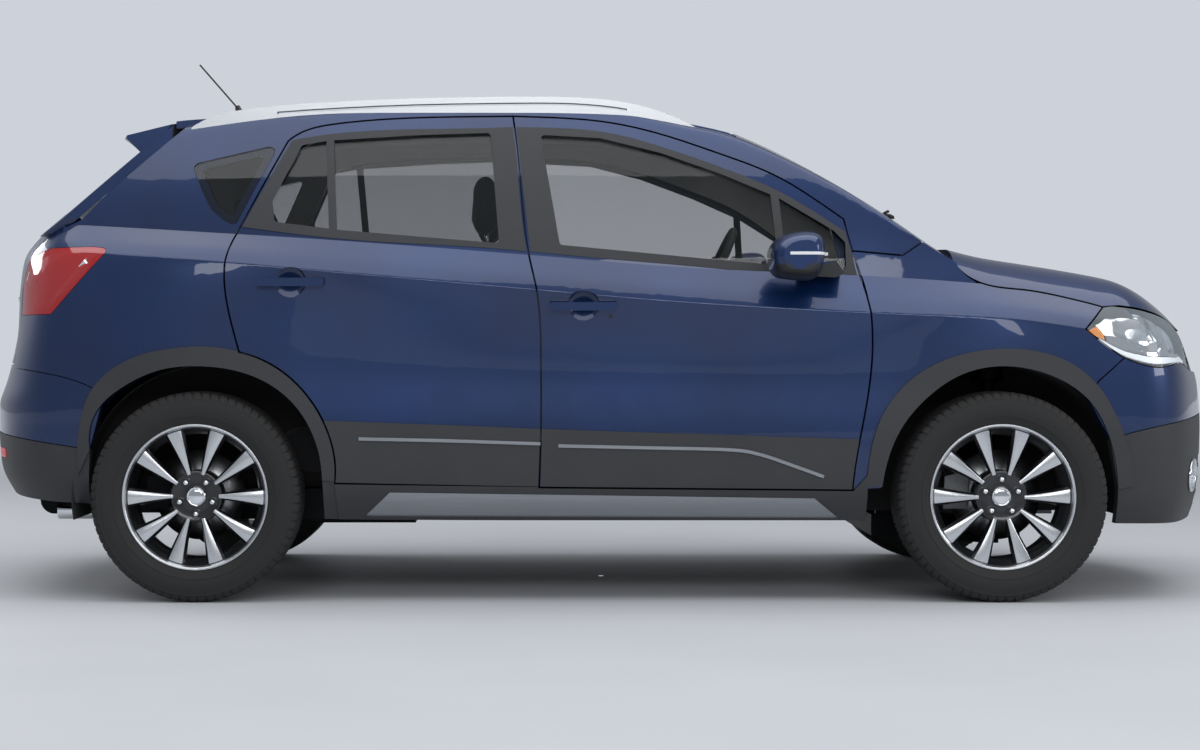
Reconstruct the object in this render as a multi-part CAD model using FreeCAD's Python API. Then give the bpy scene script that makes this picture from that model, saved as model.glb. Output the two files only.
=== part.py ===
# Crossover car, five doors. X forward, Y to the left, Z up, origin under the middle of the car.
import FreeCAD, Part
import math
import os

V = FreeCAD.Vector
os.makedirs("parts", exist_ok=True)

# Overall sizes
wheelbase = 2600.0
front_overhang = 830.0
rear_overhang = 770.0
overall_height = 1655.0
body_width = 1785.0
half_width = body_width / 2

# Wheels
tyre_radius = 339.0
tyre_width = 216.0
track_half = 768.0
rim_seat_radius = 221.0
rim_width = 190.0
rim_wall = 9.0
spoke_pairs = 5
hub_radius = 74.0
hub_bore = 30.0
disc_radius = 146.0
disc_thickness = 22.0
spoke_thickness = 34.0
spoke_tip_thickness = 22.0
spoke_root_width = 16.0
spoke_tip_width = 50.0
spoke_root_angle = 19.0
spoke_tip_angle = 17.3
wheel_face_setback = 16.0
wheel_face_dish = 9.0

# Walls and gaps
seat_gap = 0.3
shut_gap = 6.0
door_thickness = 88.0
frame_thickness = 44.0
inner_wall = 30.0
fender_thickness = 52.0
bumper_thickness = 46.0
bonnet_thickness = 30.0
lid_thickness = 52.0
roof_thickness = 24.0
glass_thickness = 6.0
glass_inset = 9.0
cladding_height = 9.0
trim_height = 3.0
lamp_depth = 90.0
aperture_inset = 44.0
roof_cut_half = 556.0
overrun = 60.0
long_overrun = 400.0

mid_x = (rear_overhang - front_overhang) / 2
front_axle_x = mid_x + wheelbase / 2
rear_axle_x = mid_x - wheelbase / 2
door_pocket = door_thickness + seat_gap
frame_pocket = frame_thickness + seat_gap


# A monotone curve through a table of pairs
def smooth(table, t):
    n = len(table)
    if t <= table[0][0]:
        slope = (table[1][1] - table[0][1]) / (table[1][0] - table[0][0])
        return table[0][1] + slope * (t - table[0][0])
    if t >= table[-1][0]:
        slope = (table[-1][1] - table[-2][1]) / (table[-1][0] - table[-2][0])
        return table[-1][1] + slope * (t - table[-1][0])
    steps = [(table[i + 1][1] - table[i][1]) / (table[i + 1][0] - table[i][0]) for i in range(n - 1)]
    slopes = [steps[0]]
    for i in range(1, n - 1):
        a = steps[i - 1]
        b = steps[i]
        slopes.append(0.0 if a * b <= 0 else 2 * a * b / (a + b))
    slopes.append(steps[-1])
    k = 0
    while t > table[k + 1][0]:
        k += 1
    h = table[k + 1][0] - table[k][0]
    s = (t - table[k][0]) / h
    a = (1 + 2 * s) * (1 - s) ** 2 * table[k][1]
    b = s * (1 - s) ** 2 * h * slopes[k]
    c = s * s * (3 - 2 * s) * table[k + 1][1]
    d = s * s * (s - 1) * h * slopes[k + 1]
    return a + b + c + d


def place_x(share):
    return mid_x + wheelbase * share


def places(shares):
    return [(place_x(a), overall_height * b) for a, b in shares]


def front_places(shares):
    return [(half_width * a, overall_height * b) for a, b in shares]


def arch_places(shares, axle_x):
    return [(axle_x + tyre_radius * a, tyre_radius + tyre_radius * b) for a, b in shares]


# Surfaces from a net of points, and walls between two of them
def net_surface(net):
    nu = len(net)
    nv = len(net[0])
    surface = Part.BSplineSurface()
    mults_u = [4] + [1] * (nu - 4) + [4]
    mults_v = [4] + [1] * (nv - 4) + [4]
    knots_u = [float(k) for k in range(nu - 2)]
    knots_v = [float(k) for k in range(nv - 2)]
    surface.buildFromPolesMultsKnots(net, mults_u, mults_v, knots_u, knots_v, False, False, 3, 3)
    return surface


def wall(near_net, far_net, span=None):
    near = net_surface(near_net)
    far = net_surface(far_net)
    if span:
        u0, u1, v0, v1 = near.bounds()
        near.segment(max(u0, span[0]), min(u1, span[1]), v0, v1)
        far.segment(max(u0, span[0]), min(u1, span[1]), v0, v1)
    u0, u1, v0, v1 = near.bounds()
    faces = [near.toShape(), far.toShape()]
    for u in (u0, u1):
        faces.append(Part.makeRuledSurface(near.uIso(u).toShape(), far.uIso(u).toShape()))
    for v in (v0, v1):
        faces.append(Part.makeRuledSurface(near.vIso(v).toShape(), far.vIso(v).toShape()))
    shell = Part.makeShell(faces)
    shell.sewShape()
    solid = Part.makeSolid(shell)
    if solid.Volume < 0:
        solid.reverse()
    return solid


# Outlines: a closed loop of runs, each a straight or a smooth line, moved in by a margin
def inset_runs(runs, inset):
    area = 0.0
    loop = [p for run in runs for p in run[:-1]]
    for k in range(len(loop)):
        a = loop[k]
        b = loop[(k + 1) % len(loop)]
        area += a[0] * b[1] - b[0] * a[1]
    side = 1.0 if area > 0 else -1.0
    moved = []
    tangents = []
    for run in runs:
        out = []
        ends = []
        for k in range(len(run)):
            a = run[max(0, k - 1)]
            b = run[min(len(run) - 1, k + 1)]
            dx = b[0] - a[0]
            dz = b[1] - a[1]
            size = math.hypot(dx, dz)
            out.append((run[k][0] - side * inset * dz / size, run[k][1] + side * inset * dx / size))
            ends.append((dx / size, dz / size))
        moved.append(out)
        tangents.append((ends[0], ends[-1]))
    count = len(moved)
    for k in range(count):
        after = (k + 1) % count
        p = moved[k][-1]
        q = moved[after][0]
        t = tangents[k][1]
        w = tangents[after][0]
        cross = t[0] * w[1] - t[1] * w[0]
        if abs(cross) < 0.08:
            corner = ((p[0] + q[0]) / 2, (p[1] + q[1]) / 2)
        else:
            reach = ((q[0] - p[0]) * w[1] - (q[1] - p[1]) * w[0]) / cross
            corner = (p[0] + t[0] * reach, p[1] + t[1] * reach)
        moved[k][-1] = corner
        moved[after][0] = corner
    return moved


def plane_point(plane, p, level):
    if plane == "side":
        return V(p[0], level, p[1])
    if plane == "front":
        return V(level, p[0], p[1])
    return V(p[0], p[1], level)


def prism(runs, plane, low, high, inset=0.0):
    if inset:
        runs = inset_runs(runs, inset)
    edges = []
    for run in runs:
        points = [plane_point(plane, p, low) for p in run]
        if len(points) == 2:
            edges.append(Part.makeLine(points[0], points[1]))
        else:
            curve = Part.BSplineCurve()
            curve.interpolate(points)
            edges.append(curve.toShape())
    face = Part.Face(Part.Wire(edges))
    solid = face.extrude(plane_point(plane, (0, 0), high) - plane_point(plane, (0, 0), low))
    if solid.Volume < 0:
        solid.reverse()
    return solid


# A polygon with rounded corners as runs
def rounded(points, radius):
    runs = []
    count = len(points)
    starts = []
    ends = []
    arcs = []
    for k in range(count):
        before = points[k - 1]
        here = points[k]
        after = points[(k + 1) % count]
        ax = before[0] - here[0]
        az = before[1] - here[1]
        bx = after[0] - here[0]
        bz = after[1] - here[1]
        la = math.hypot(ax, az)
        lb = math.hypot(bx, bz)
        turn = math.acos(max(-1.0, min(1.0, (ax * bx + az * bz) / la / lb)))
        reach = min(max(radius / math.tan(turn / 2), radius * 0.25), la * 0.45, lb * 0.45)
        p = (here[0] + ax / la * reach, here[1] + az / la * reach)
        q = (here[0] + bx / lb * reach, here[1] + bz / lb * reach)
        arc = []
        for s in (0.0, 0.25, 0.5, 0.75, 1.0):
            w0 = (1 - s) ** 2
            w1 = 2 * s * (1 - s)
            w2 = s * s
            arc.append((w0 * p[0] + w1 * here[0] + w2 * q[0], w0 * p[1] + w1 * here[1] + w2 * q[1]))
        starts.append(p)
        ends.append(q)
        arcs.append(arc)
    for k in range(count):
        runs.append(arcs[k])
        runs.append([ends[k], starts[(k + 1) % count]])
    return runs


def ring_runs(points):
    return [[points[k], points[(k + 1) % len(points)]] for k in range(len(points))]


def box(x0, x1, y0, y1, z0, z1):
    return Part.makeBox(x1 - x0, y1 - y0, z1 - z0, V(x0, y0, z0))


def moved(shape, x, y, z):
    copy = shape.copy()
    copy.translate(V(x, y, z))
    return copy


def mirrored(shape):
    return shape.mirror(V(0, 0, 0), V(0, 1, 0))


def both(shape):
    return Part.makeCompound([shape, mirrored(shape)])


def rod(start, end, radius):
    axis = end - start
    return Part.makeCylinder(radius, axis.Length, start, axis)


def save(name, shape):
    solids = shape.Solids
    kept = solids[0] if len(solids) == 1 else Part.makeCompound(solids)
    kept.exportStep("parts/" + name + ".step")
    print(name, len(solids), "valid" if kept.isValid() else "NOT VALID", round(kept.Volume / 1e6, 2))


# Body skin: rows run along the car from the sill to the belt, columns go round it
station_shares = (-0.645, -0.50, -0.325, -0.075, 0.115, 0.34, 0.50, 0.65)
row_height_shares = (
    (0.190, 0.175, 0.160, 0.158, 0.158, 0.158, 0.158, 0.150),
    (0.245, 0.235, 0.226, 0.224, 0.224, 0.224, 0.224, 0.210),
    (0.370, 0.360, 0.350, 0.340, 0.335, 0.335, 0.345, 0.345),
    (0.480, 0.475, 0.465, 0.450, 0.445, 0.440, 0.435, 0.430),
    (0.660, 0.646, 0.622, 0.586, 0.561, 0.541, 0.531, 0.497),
    (0.684, 0.667, 0.643, 0.608, 0.583, 0.563, 0.553, 0.522),
    (0.700, 0.686, 0.663, 0.629, 0.604, 0.584, 0.573, 0.541),
    (0.738, 0.724, 0.706, 0.676, 0.652, 0.636, 0.619, 0.576))
row_width_shares = (
    (0.860, 0.900, 0.905, 0.905, 0.905, 0.905, 0.905, 0.870),
    (0.925, 0.965, 0.968, 0.968, 0.968, 0.968, 0.965, 0.925),
    (0.935, 0.982, 0.976, 0.971, 0.971, 0.976, 0.982, 0.940),
    (0.925, 0.978, 0.964, 0.956, 0.956, 0.963, 0.978, 0.935),
    (0.908, 0.966, 0.973, 0.974, 0.974, 0.971, 0.966, 0.918),
    (0.893, 0.957, 0.976, 0.980, 0.980, 0.976, 0.960, 0.905),
    (0.868, 0.930, 0.952, 0.962, 0.962, 0.953, 0.935, 0.885),
    (0.795, 0.840, 0.883, 0.897, 0.893, 0.882, 0.836, 0.800))
nose_height_shares = (0.145, 0.200, 0.330, 0.415, 0.475, 0.500, 0.515, 0.535)
nose_reach_shares = (0.955, 0.985, 1.000, 0.988, 0.955, 0.938, 0.925, 0.905)
tail_height_shares = (0.200, 0.255, 0.365, 0.430, 0.530, 0.600, 0.670, 0.745)
tail_reach_shares = (0.930, 0.985, 1.000, 0.955, 0.905, 0.902, 0.890, 0.755)
nose_plan_shares = ((0.0, 1.0), (0.1, 0.995), (0.25, 0.98), (0.40, 0.94), (0.52, 0.87), (0.63, 0.76),
                    (0.74, 0.62), (0.83, 0.50), (0.93, 0.33), (0.985, 0.15), (1.0, 0.0))
tail_plan_shares = ((0.0, 1.0), (0.15, 0.99), (0.33, 0.965), (0.50, 0.91), (0.66, 0.82), (0.78, 0.70),
                    (0.88, 0.55), (0.95, 0.40), (0.99, 0.20), (1.0, 0.0))
rows = len(row_height_shares)
row_steps = (3, 4, 4, 4, 1, 1, 3)
side_columns = 40
corner_columns = 13
overlap_columns = 26


def fade(s):
    return s * s * (3 - 2 * s)


def station_value(shares, share):
    return smooth(list(zip(station_shares, shares)), share)


def key_points(kind, step):
    points = []
    for row in range(rows):
        if kind == "side":
            share = station_shares[0] + (station_shares[-1] - station_shares[0]) * step
            x = place_x(share)
            y = half_width * station_value(row_width_shares[row], share)
            z = overall_height * station_value(row_height_shares[row], share)
        else:
            nose = kind == "nose"
            plan = nose_plan_shares if nose else tail_plan_shares
            across = list(zip([k / (len(plan) - 1) for k in range(len(plan))], [p[1] for p in plan]))
            along = list(zip([k / (len(plan) - 1) for k in range(len(plan))], [p[0] for p in plan]))
            c = smooth(across, step)
            s = smooth(along, step)
            end = -1 if nose else 0
            x0 = place_x(station_shares[end])
            y0 = half_width * row_width_shares[row][end]
            z0 = overall_height * row_height_shares[row][end]
            if nose:
                x1 = front_axle_x + front_overhang * nose_reach_shares[row]
                z1 = overall_height * nose_height_shares[row]
            else:
                x1 = rear_axle_x - rear_overhang * tail_reach_shares[row]
                z1 = overall_height * tail_height_shares[row]
            x = x0 + (x1 - x0) * s
            y = y0 * c
            z = z0 + (z1 - z0) * fade(s)
        points.append((x, -y, z))
    return points


def dense_column(points):
    column = []
    tables = [list(zip(range(rows), [p[axis] for p in points])) for axis in range(3)]
    for row in range(rows - 1):
        for k in range(row_steps[row]):
            t = row + k / row_steps[row]
            column.append(tuple(smooth(tables[axis], t) for axis in range(3)))
        if row + 1 == 5:
            column.append(points[5])
    column.append(points[-1])
    return column


def half_ring():
    columns = []
    for k in range(corner_columns, 0, -1):
        columns.append(key_points("tail", k / corner_columns))
    for k in range(side_columns + 1):
        columns.append(key_points("side", k / side_columns))
    for k in range(1, corner_columns + 1):
        columns.append(key_points("nose", k / corner_columns))
    return columns


half_keys = half_ring()
half_count = len(half_keys)


def flip(points):
    return [(p[0], -p[1], p[2]) for p in points]


ring_keys = [flip(half_keys[k]) for k in range(overlap_columns, 0, -1)]
ring_keys += half_keys
ring_keys += [flip(half_keys[half_count - 1 - k]) for k in range(1, overlap_columns + 1)]
ring_dense = [dense_column(points) for points in ring_keys]


def ring_normals():
    plan = [points[3] for points in ring_keys]
    out = []
    for k in range(len(plan)):
        a = plan[max(0, k - 1)]
        b = plan[min(len(plan) - 1, k + 1)]
        dx = b[0] - a[0]
        dy = b[1] - a[1]
        size = math.hypot(dx, dy)
        out.append((-dy / size, dx / size))
    return out


inward = ring_normals()


def ring_net(depth):
    net = []
    for k in range(len(ring_dense)):
        nx, ny = inward[k]
        net.append([V(p[0] + nx * depth, p[1] + ny * depth, p[2]) for p in ring_dense[k]])
    return net


def ring_wall(depth0, depth1, first, last):
    start = first + overlap_columns - 1
    stop = last + overlap_columns - 1
    return wall(ring_net(depth0), ring_net(depth1), (float(start), float(stop)))


side_start = corner_columns
side_end = corner_columns + side_columns
nose_middle = half_count - 1


# Cabin skin: side of the upper body from the belt to the roof
plan_shares = [(-0.6769, 0.8202), (-0.6450, 0.8291), (-0.5000, 0.8661), (-0.3250, 0.8986),
    (-0.0750, 0.8986), (0.1150, 0.8863), (0.3400, 0.8706), (0.4038, 0.8482),
    (0.5000, 0.8090)]
inset_height_shares = (0.40, 0.58, 0.652, 0.676, 0.706, 0.742, 0.816, 0.906, 0.956, 1.0)
inset_width_shares = (-0.06, -0.018, 0.0, 0.009, 0.022, 0.041, 0.087, 0.163, 0.211, 0.27)
cant_shares = [(-0.6846, 0.9039), (-0.5769, 0.9251), (-0.5169, 0.9360), (-0.4615, 0.9474),
    (-0.3927, 0.9571), (-0.3077, 0.9656), (-0.2265, 0.9704), (-0.1538, 0.9740),
    (-0.0769, 0.9752), (0.0000, 0.9710), (0.0500, 0.9577), (0.0769, 0.9474),
    (0.1192, 0.9329), (0.1631, 0.9184), (0.2277, 0.8749), (0.3077, 0.8066), (0.3846, 0.7311),
    (0.4077, 0.7082), (0.4769, 0.6719)]
cant_roll_shares = ((0.0, 0.0), (0.005, 0.012), (0.0085, 0.036), (0.011, 0.068), (0.0125, 0.115))
cabin_back_share = -0.675
cabin_front_share = 0.475
cabin_columns = 44
cabin_lower_share = 0.055


def belt_height(share):
    return overall_height * station_value(row_height_shares[-1], share)


def cabin_half(share, z):
    inset = smooth(list(zip(inset_height_shares, inset_width_shares)), z / overall_height)
    return half_width * (smooth(plan_shares, share) - inset)


def cabin_net(depth, lift=0.0):
    net = []
    for k in range(cabin_columns):
        share = cabin_back_share + (cabin_front_share - cabin_back_share) * k / (cabin_columns - 1)
        top = overall_height * smooth(cant_shares, share)
        low = belt_height(share) - overall_height * cabin_lower_share + lift
        column = []
        for j in range(9):
            z = low + (top - low) * j / 8
            column.append(V(place_x(share), -cabin_half(share, z) + depth, z))
        base = cabin_half(share, top)
        for up, inn in cant_roll_shares[1:]:
            column.append(V(place_x(share), -(base - half_width * inn) + depth, top + overall_height * up))
        net.append(column)
    return net


def cabin_wall(depth0, depth1, x0=None, x1=None, lift=0.0):
    span = None
    if x0 is not None:
        length = wheelbase * (cabin_front_share - cabin_back_share)
        back = place_x(cabin_back_share)
        span = ((x0 - back) / length * (cabin_columns - 3), (x1 - back) / length * (cabin_columns - 3))
    return wall(cabin_net(depth0, lift), cabin_net(depth1, lift), span)


# Roof skin
roof_shares = [(-0.6846, 0.9245), (-0.5638, 0.9607), (-0.5435, 0.9668), (-0.4615, 0.9734),
    (-0.3077, 0.9903), (-0.1538, 0.9970), (0.0000, 0.9934), (0.0769, 0.9716),
    (0.1677, 0.9450), (0.2000, 0.9245)]
roof_crown_share = 0.0125
roof_columns = 24
roof_rows = 13
roof_back_share = -0.60
roof_front_share = 0.18
roof_half_share = 0.70


def roof_height(share, y):
    flat = overall_height * smooth(roof_shares, share)
    return flat - overall_height * roof_crown_share * (abs(y) / roof_cut_half) ** 2


def roof_net(drop):
    net = []
    for k in range(roof_columns):
        share = roof_back_share + (roof_front_share - roof_back_share) * k / (roof_columns - 1)
        column = []
        for j in range(roof_rows):
            y = half_width * roof_half_share * (2 * j / (roof_rows - 1) - 1)
            column.append(V(place_x(share), y, roof_height(share, y) - drop))
        net.append(column)
    return net


# Windscreen and rear screen skins, given by the height
screen_shares = [(0.5000, 0.6556), (0.4769, 0.6755), (0.4438, 0.7094), (0.4173, 0.7390), (0.3500, 0.8066),
    (0.2827, 0.8659), (0.2285, 0.9082), (0.1681, 0.9462), (0.1269, 0.9668)]
screen_table = sorted([(b, a) for a, b in screen_shares])
screen_bow_share = 0.052
screen_half_share = 0.93
rear_screen_shares = [(-0.7404, 0.7190), (-0.7165, 0.7505), (-0.6008, 0.9033), (-0.5769, 0.9335),
    (-0.5538, 0.9607)]
rear_screen_table = sorted([(b, a) for a, b in rear_screen_shares])
rear_bow_share = 0.058


def screen_x(y, z):
    centre = place_x(smooth(screen_table, z / overall_height))
    bow = wheelbase * screen_bow_share * (abs(y) / (half_width * screen_half_share)) ** 2.2
    return centre - bow


def rear_screen_x(y, z):
    centre = place_x(smooth(rear_screen_table, z / overall_height))
    bow = wheelbase * rear_bow_share * (abs(y) / (half_width * screen_half_share)) ** 2.4
    return centre + bow


screen_low_share = 0.655
screen_high_share = 0.975
rear_low_share = 0.700
rear_high_share = 0.965


def screen_net(shape_x, low_share, high_share, shift):
    net = []
    for k in range(17):
        y = half_width * screen_half_share * (2 * k / 16 - 1)
        column = []
        for j in range(13):
            z = overall_height * (low_share + (high_share - low_share) * j / 12)
            column.append(V(shape_x(y, z) + shift, y, z))
        net.append(column)
    return net


def front_screen_wall(shift0, shift1):
    return wall(screen_net(screen_x, screen_low_share, screen_high_share, shift0),
                screen_net(screen_x, screen_low_share, screen_high_share, shift1))


def rear_screen_wall(shift0, shift1):
    return wall(screen_net(rear_screen_x, rear_low_share, rear_high_share, shift0),
                screen_net(rear_screen_x, rear_low_share, rear_high_share, shift1))


# Bonnet skin: a crowned top that rolls down to the row above the wings and the nose
bonnet_shares = [(0.3846, 0.7221), (0.4438, 0.7027), (0.4927, 0.6840), (0.5465, 0.6707), (0.6138, 0.6538),
    (0.6812, 0.6332), (0.7350, 0.6115), (0.7923, 0.5861), (0.8462, 0.5559)]
bonnet_crown_share = 0.016
bonnet_roll_share = 0.090
rim_line = [points[-1] for points in ring_keys[overlap_columns + side_start + 25:]]


def rim_nearest(x, y):
    best = None
    for k in range(len(rim_line) - 1):
        a = rim_line[k]
        b = rim_line[k + 1]
        dx = b[0] - a[0]
        dy = b[1] - a[1]
        s = ((x - a[0]) * dx + (y - a[1]) * dy) / (dx * dx + dy * dy)
        s = max(0.0, min(1.0, s))
        px = a[0] + dx * s
        py = a[1] + dy * s
        away = math.hypot(x - px, y - py)
        if best is None or away < best[0]:
            side = (y - a[1]) * dx - (x - a[0]) * dy
            best = (away, px, py, a[2] + (b[2] - a[2]) * s, side)
    return best


def bonnet_top(x, y):
    crown = overall_height * bonnet_crown_share * (abs(y) / half_width) ** 2
    return overall_height * smooth(bonnet_shares, (x - mid_x) / wheelbase) - crown


def bonnet_height(x, y):
    away, px, py, pz, side = rim_nearest(x, -abs(y))
    depth = away if side > 0 else -away
    q = depth / (wheelbase * bonnet_roll_share)
    if q >= 1:
        return bonnet_top(x, y)
    step = bonnet_top(px, py) - pz
    return bonnet_top(x, y) - step * (1 - max(q, -0.35)) ** 2.3


bonnet_back_share = 0.425
bonnet_front_share = 0.812
bonnet_half_share = 0.875


def bonnet_net(drop):
    net = []
    for k in range(34):
        x = place_x(bonnet_back_share + (bonnet_front_share - bonnet_back_share) * k / 33)
        column = []
        for j in range(45):
            y = half_width * bonnet_half_share * (2 * j / 44 - 1)
            column.append(V(x, y, bonnet_height(x, y) - drop))
        net.append(column)
    return net


# Shut lines of the side, as shares of wheelbase and height
door_sill_shares = [(-0.3269, 0.2320), (-0.0742, 0.2242), (0.3135, 0.2187)]
front_line_shares = [(0.3135, 0.2187), (0.3246, 0.3347), (0.3338, 0.4127), (0.3385, 0.5106), (0.3338, 0.5885),
    (0.3219, 0.6665), (0.3088, 0.7492)]
pillar_line_shares = [(0.3088, 0.7492), (0.2692, 0.7940), (0.2277, 0.8350), (0.1565, 0.8816), (0.0800, 0.9233),
    (0.0035, 0.9498), (-0.0538, 0.9571), (-0.1073, 0.9601)]
middle_line_shares = [(-0.1073, 0.9601), (-0.0977, 0.8230), (-0.0854, 0.6665), (-0.0773, 0.6085),
    (-0.0719, 0.4713), (-0.0719, 0.3347), (-0.0742, 0.2242)]
rear_top_shares = [(-0.1073, 0.9601), (-0.2154, 0.9577), (-0.2923, 0.9511), (-0.3365, 0.9432),
    (-0.3696, 0.9311), (-0.3931, 0.9082)]
rear_slant_shares = [(-0.3931, 0.9082), (-0.4492, 0.7335)]
rear_line_shares = [(-0.4492, 0.7335), (-0.4577, 0.7009), (-0.4627, 0.6665), (-0.4638, 0.6344),
    (-0.4558, 0.5498), (-0.4450, 0.4870)]
arch_outer_front_shares = [(-1.30, 0.10), (-1.286, 0.26), (-1.171, 0.735), (-0.935, 1.065), (-0.605, 1.283),
    (-0.177, 1.398), (0.251, 1.398), (0.676, 1.257), (0.962, 0.991), (1.142, 0.64), (1.227, 0.401),
    (1.26, 0.10)]
arch_inner_front_shares = [(-1.171, -0.28), (-1.150, 0.10), (-1.124, 0.26), (-0.982, 0.64), (-0.699, 0.971),
    (-0.366, 1.18), (0.012, 1.245), (0.44, 1.162), (0.817, 0.923), (1.027, 0.546), (1.112, 0.071),
    (1.121, -0.30)]
arch_outer_rear_shares = [(-1.13, 0.20), (-1.125, 0.55), (-1.086, 0.782), (-0.991, 1.018), (-0.802, 1.209),
    (-0.516, 1.351), (-0.186, 1.416), (0.147, 1.428), (0.525, 1.351), (0.906, 1.133), (1.189, 0.782),
    (1.33, 0.354), (1.36, 0.147)]
arch_inner_rear_shares = [(-1.035, -0.10), (-1.009, 0.451), (-0.897, 0.876), (-0.658, 1.065),
    (-0.327, 1.209), (0.053, 1.245), (0.525, 1.162), (0.906, 0.923), (1.142, 0.546), (1.209, 0.165),
    (1.218, -0.20)]

front_door_runs = [places(door_sill_shares[1:]), places(front_line_shares), places(pillar_line_shares),
                   places(middle_line_shares)]
arch_rear_outer = arch_places(arch_outer_rear_shares, rear_axle_x)
arch_rear_inner = arch_places(arch_inner_rear_shares, rear_axle_x)
arch_front_outer = arch_places(arch_outer_front_shares, front_axle_x)
arch_front_inner = arch_places(arch_inner_front_shares, front_axle_x)
rear_door_low = places(door_sill_shares)[0]
rear_line = places(rear_line_shares)
rear_arch_run = [rear_line[-1]] + [p for p in arch_rear_outer[8:12]] + [rear_door_low]
rear_door_runs = [rear_arch_run, [rear_door_low, places(door_sill_shares)[1]],
                  list(reversed(places(middle_line_shares))), places(rear_top_shares),
                  places(rear_slant_shares), rear_line]

# Glass and trim outlines of the side
front_window_shares = [(-0.0504, 0.6937), (-0.0754, 0.9251), (0.0035, 0.9184), (0.0800, 0.8882),
    (0.1565, 0.8447), (0.2277, 0.7964), (0.2965, 0.7305), (0.3123, 0.7045), (0.3123, 0.6453),
    (0.2277, 0.6526), (0.1273, 0.6671)]
rear_window_shares = [(-0.1212, 0.6961), (-0.1335, 0.9293), (-0.2258, 0.9245), (-0.3404, 0.9130),
    (-0.3769, 0.9033), (-0.4123, 0.7855), (-0.4085, 0.7396), (-0.3235, 0.7227)]
front_surround_top_shares = [(0.3123, 0.7239), (0.2965, 0.7408), (0.2277, 0.8079), (0.1565, 0.8562), (0.0800, 0.8991),
    (0.0035, 0.9299), (-0.0538, 0.9372), (-0.1046, 0.9390)]
front_surround_low_shares = [(-0.0862, 0.6828), (-0.0481, 0.6767), (0.1273, 0.6526), (0.2277, 0.6375),
    (0.3262, 0.6272)]
rear_surround_top_shares = [(-0.1058, 0.9390), (-0.2258, 0.9347), (-0.3404, 0.9239), (-0.3885, 0.9112)]
rear_surround_low_shares = [(-0.4492, 0.7323), (-0.4112, 0.7239), (-0.3235, 0.7076), (-0.1231, 0.6876),
    (-0.0877, 0.6822)]
quarter_shares = [(-0.4038, 0.9015), (-0.5146, 0.8610), (-0.5012, 0.8109), (-0.4873, 0.7692),
    (-0.4708, 0.7468), (-0.4554, 0.7360)]
front_cladding_shares = [(-0.0719, 0.3378), (0.1154, 0.3281), (0.3254, 0.3178)]
rear_cladding_shares = [(-0.3462, 0.3541), (-0.1923, 0.3456), (-0.0719, 0.3378)]

# Wing, lamps and bumpers
wing_top_shares = [(0.3154, 0.6864), (0.3819, 0.6773)]
wing_post_shares = [(0.3819, 0.6773), (0.4092, 0.7057)]
wing_cowl_shares = [(0.4092, 0.7057), (0.4423, 0.6804), (0.4500, 0.6695)]
bonnet_line_shares = [(0.4500, 0.6695), (0.4600, 0.6441), (0.4788, 0.6248), (0.5362, 0.6097), (0.5923, 0.5934),
    (0.6362, 0.5758)]
lamp_back_shares = [(0.6362, 0.5758), (0.6185, 0.5511), (0.6062, 0.5323)]
lamp_low_shares = [(0.6062, 0.5323), (0.6308, 0.5003), (0.6538, 0.4755)]
lamp_base_shares = [(0.6538, 0.4755), (0.6769, 0.4622), (0.7023, 0.4568), (0.7292, 0.4640), (0.7569, 0.4520)]
lamp_top_shares = [(0.7569, 0.5329), (0.7308, 0.5511), (0.6885, 0.5710), (0.6577, 0.5782), (0.6362, 0.5758)]
nose_lip_shares = [(0.7569, 0.5329), (0.7846, 0.5269), (0.8846, 0.5233)]
grille_low_shares = [(0.7569, 0.4520), (0.7846, 0.4459), (0.8846, 0.4435)]
wing_joint_shares = [(0.6538, 0.4755), (0.6365, 0.4520), (0.6200, 0.4302)]
bumper_split_shares = [(0.6615, 0.3293), (0.7115, 0.3456), (0.7692, 0.3565), (0.8846, 0.3625)]
skirt_low_shares = [(0.6385, 0.1088), (0.8846, 0.1088)]
tail_lamp_shares = [(-0.6135, 0.6828), (-0.6154, 0.6912), (-0.6308, 0.6943), (-0.6885, 0.6924),
    (-0.7231, 0.6719), (-0.7654, 0.6465), (-0.7654, 0.5619), (-0.7231, 0.5595),
    (-0.6835, 0.5607)]
tail_joint_shares = [(-0.6285, 0.4169), (-0.6538, 0.4326), (-0.6923, 0.4459), (-0.7308, 0.4532),
    (-0.8846, 0.4562)]
tail_split_shares = [(-0.6692, 0.3051), (-0.7115, 0.3142), (-0.8846, 0.3202)]
tail_shut_shares = [(-0.5431, 0.9789), (-0.5431, 0.9414), (-0.5773, 0.8798), (-0.6515, 0.7498),
    (-0.6712, 0.7347)]
tail_skirt_low_shares = [(-0.6154, 0.1450), (-0.8846, 0.1450)]
spoiler_middle_shares = [(-0.5431, 0.9668), (-0.6277, 0.9372), (-0.6292, 0.9305), (-0.5923, 0.8943),
    (-0.5431, 0.9402)]
spoiler_end_shares = [(-0.5431, 0.9450), (-0.6008, 0.9227), (-0.6027, 0.9166), (-0.5773, 0.8773),
    (-0.5431, 0.9305)]
lid_shares = [(0.6409, 0.4616), (0.6611, 0.4725), (0.6644, 0.6103), (0.7171, 0.6828), (0.7731, 0.7384),
    (0.7843, 0.7529), (0.7171, 0.8701), (0.6768, 0.9335), (0.6611, 0.9909)]
lid_hole_shares = [(0.5938, 0.4906), (0.6151, 0.6103), (0.6689, 0.6888), (0.7261, 0.7492), (0.6678, 0.8653),
    (0.6230, 0.9426), (0.6118, 0.9909)]
lid_glass_shares = [(0.6275, 0.7625), (0.7171, 0.7625), (0.7339, 0.7764), (0.6835, 0.8610), (0.6443, 0.8955),
    (0.6106, 0.9003)]
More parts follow.
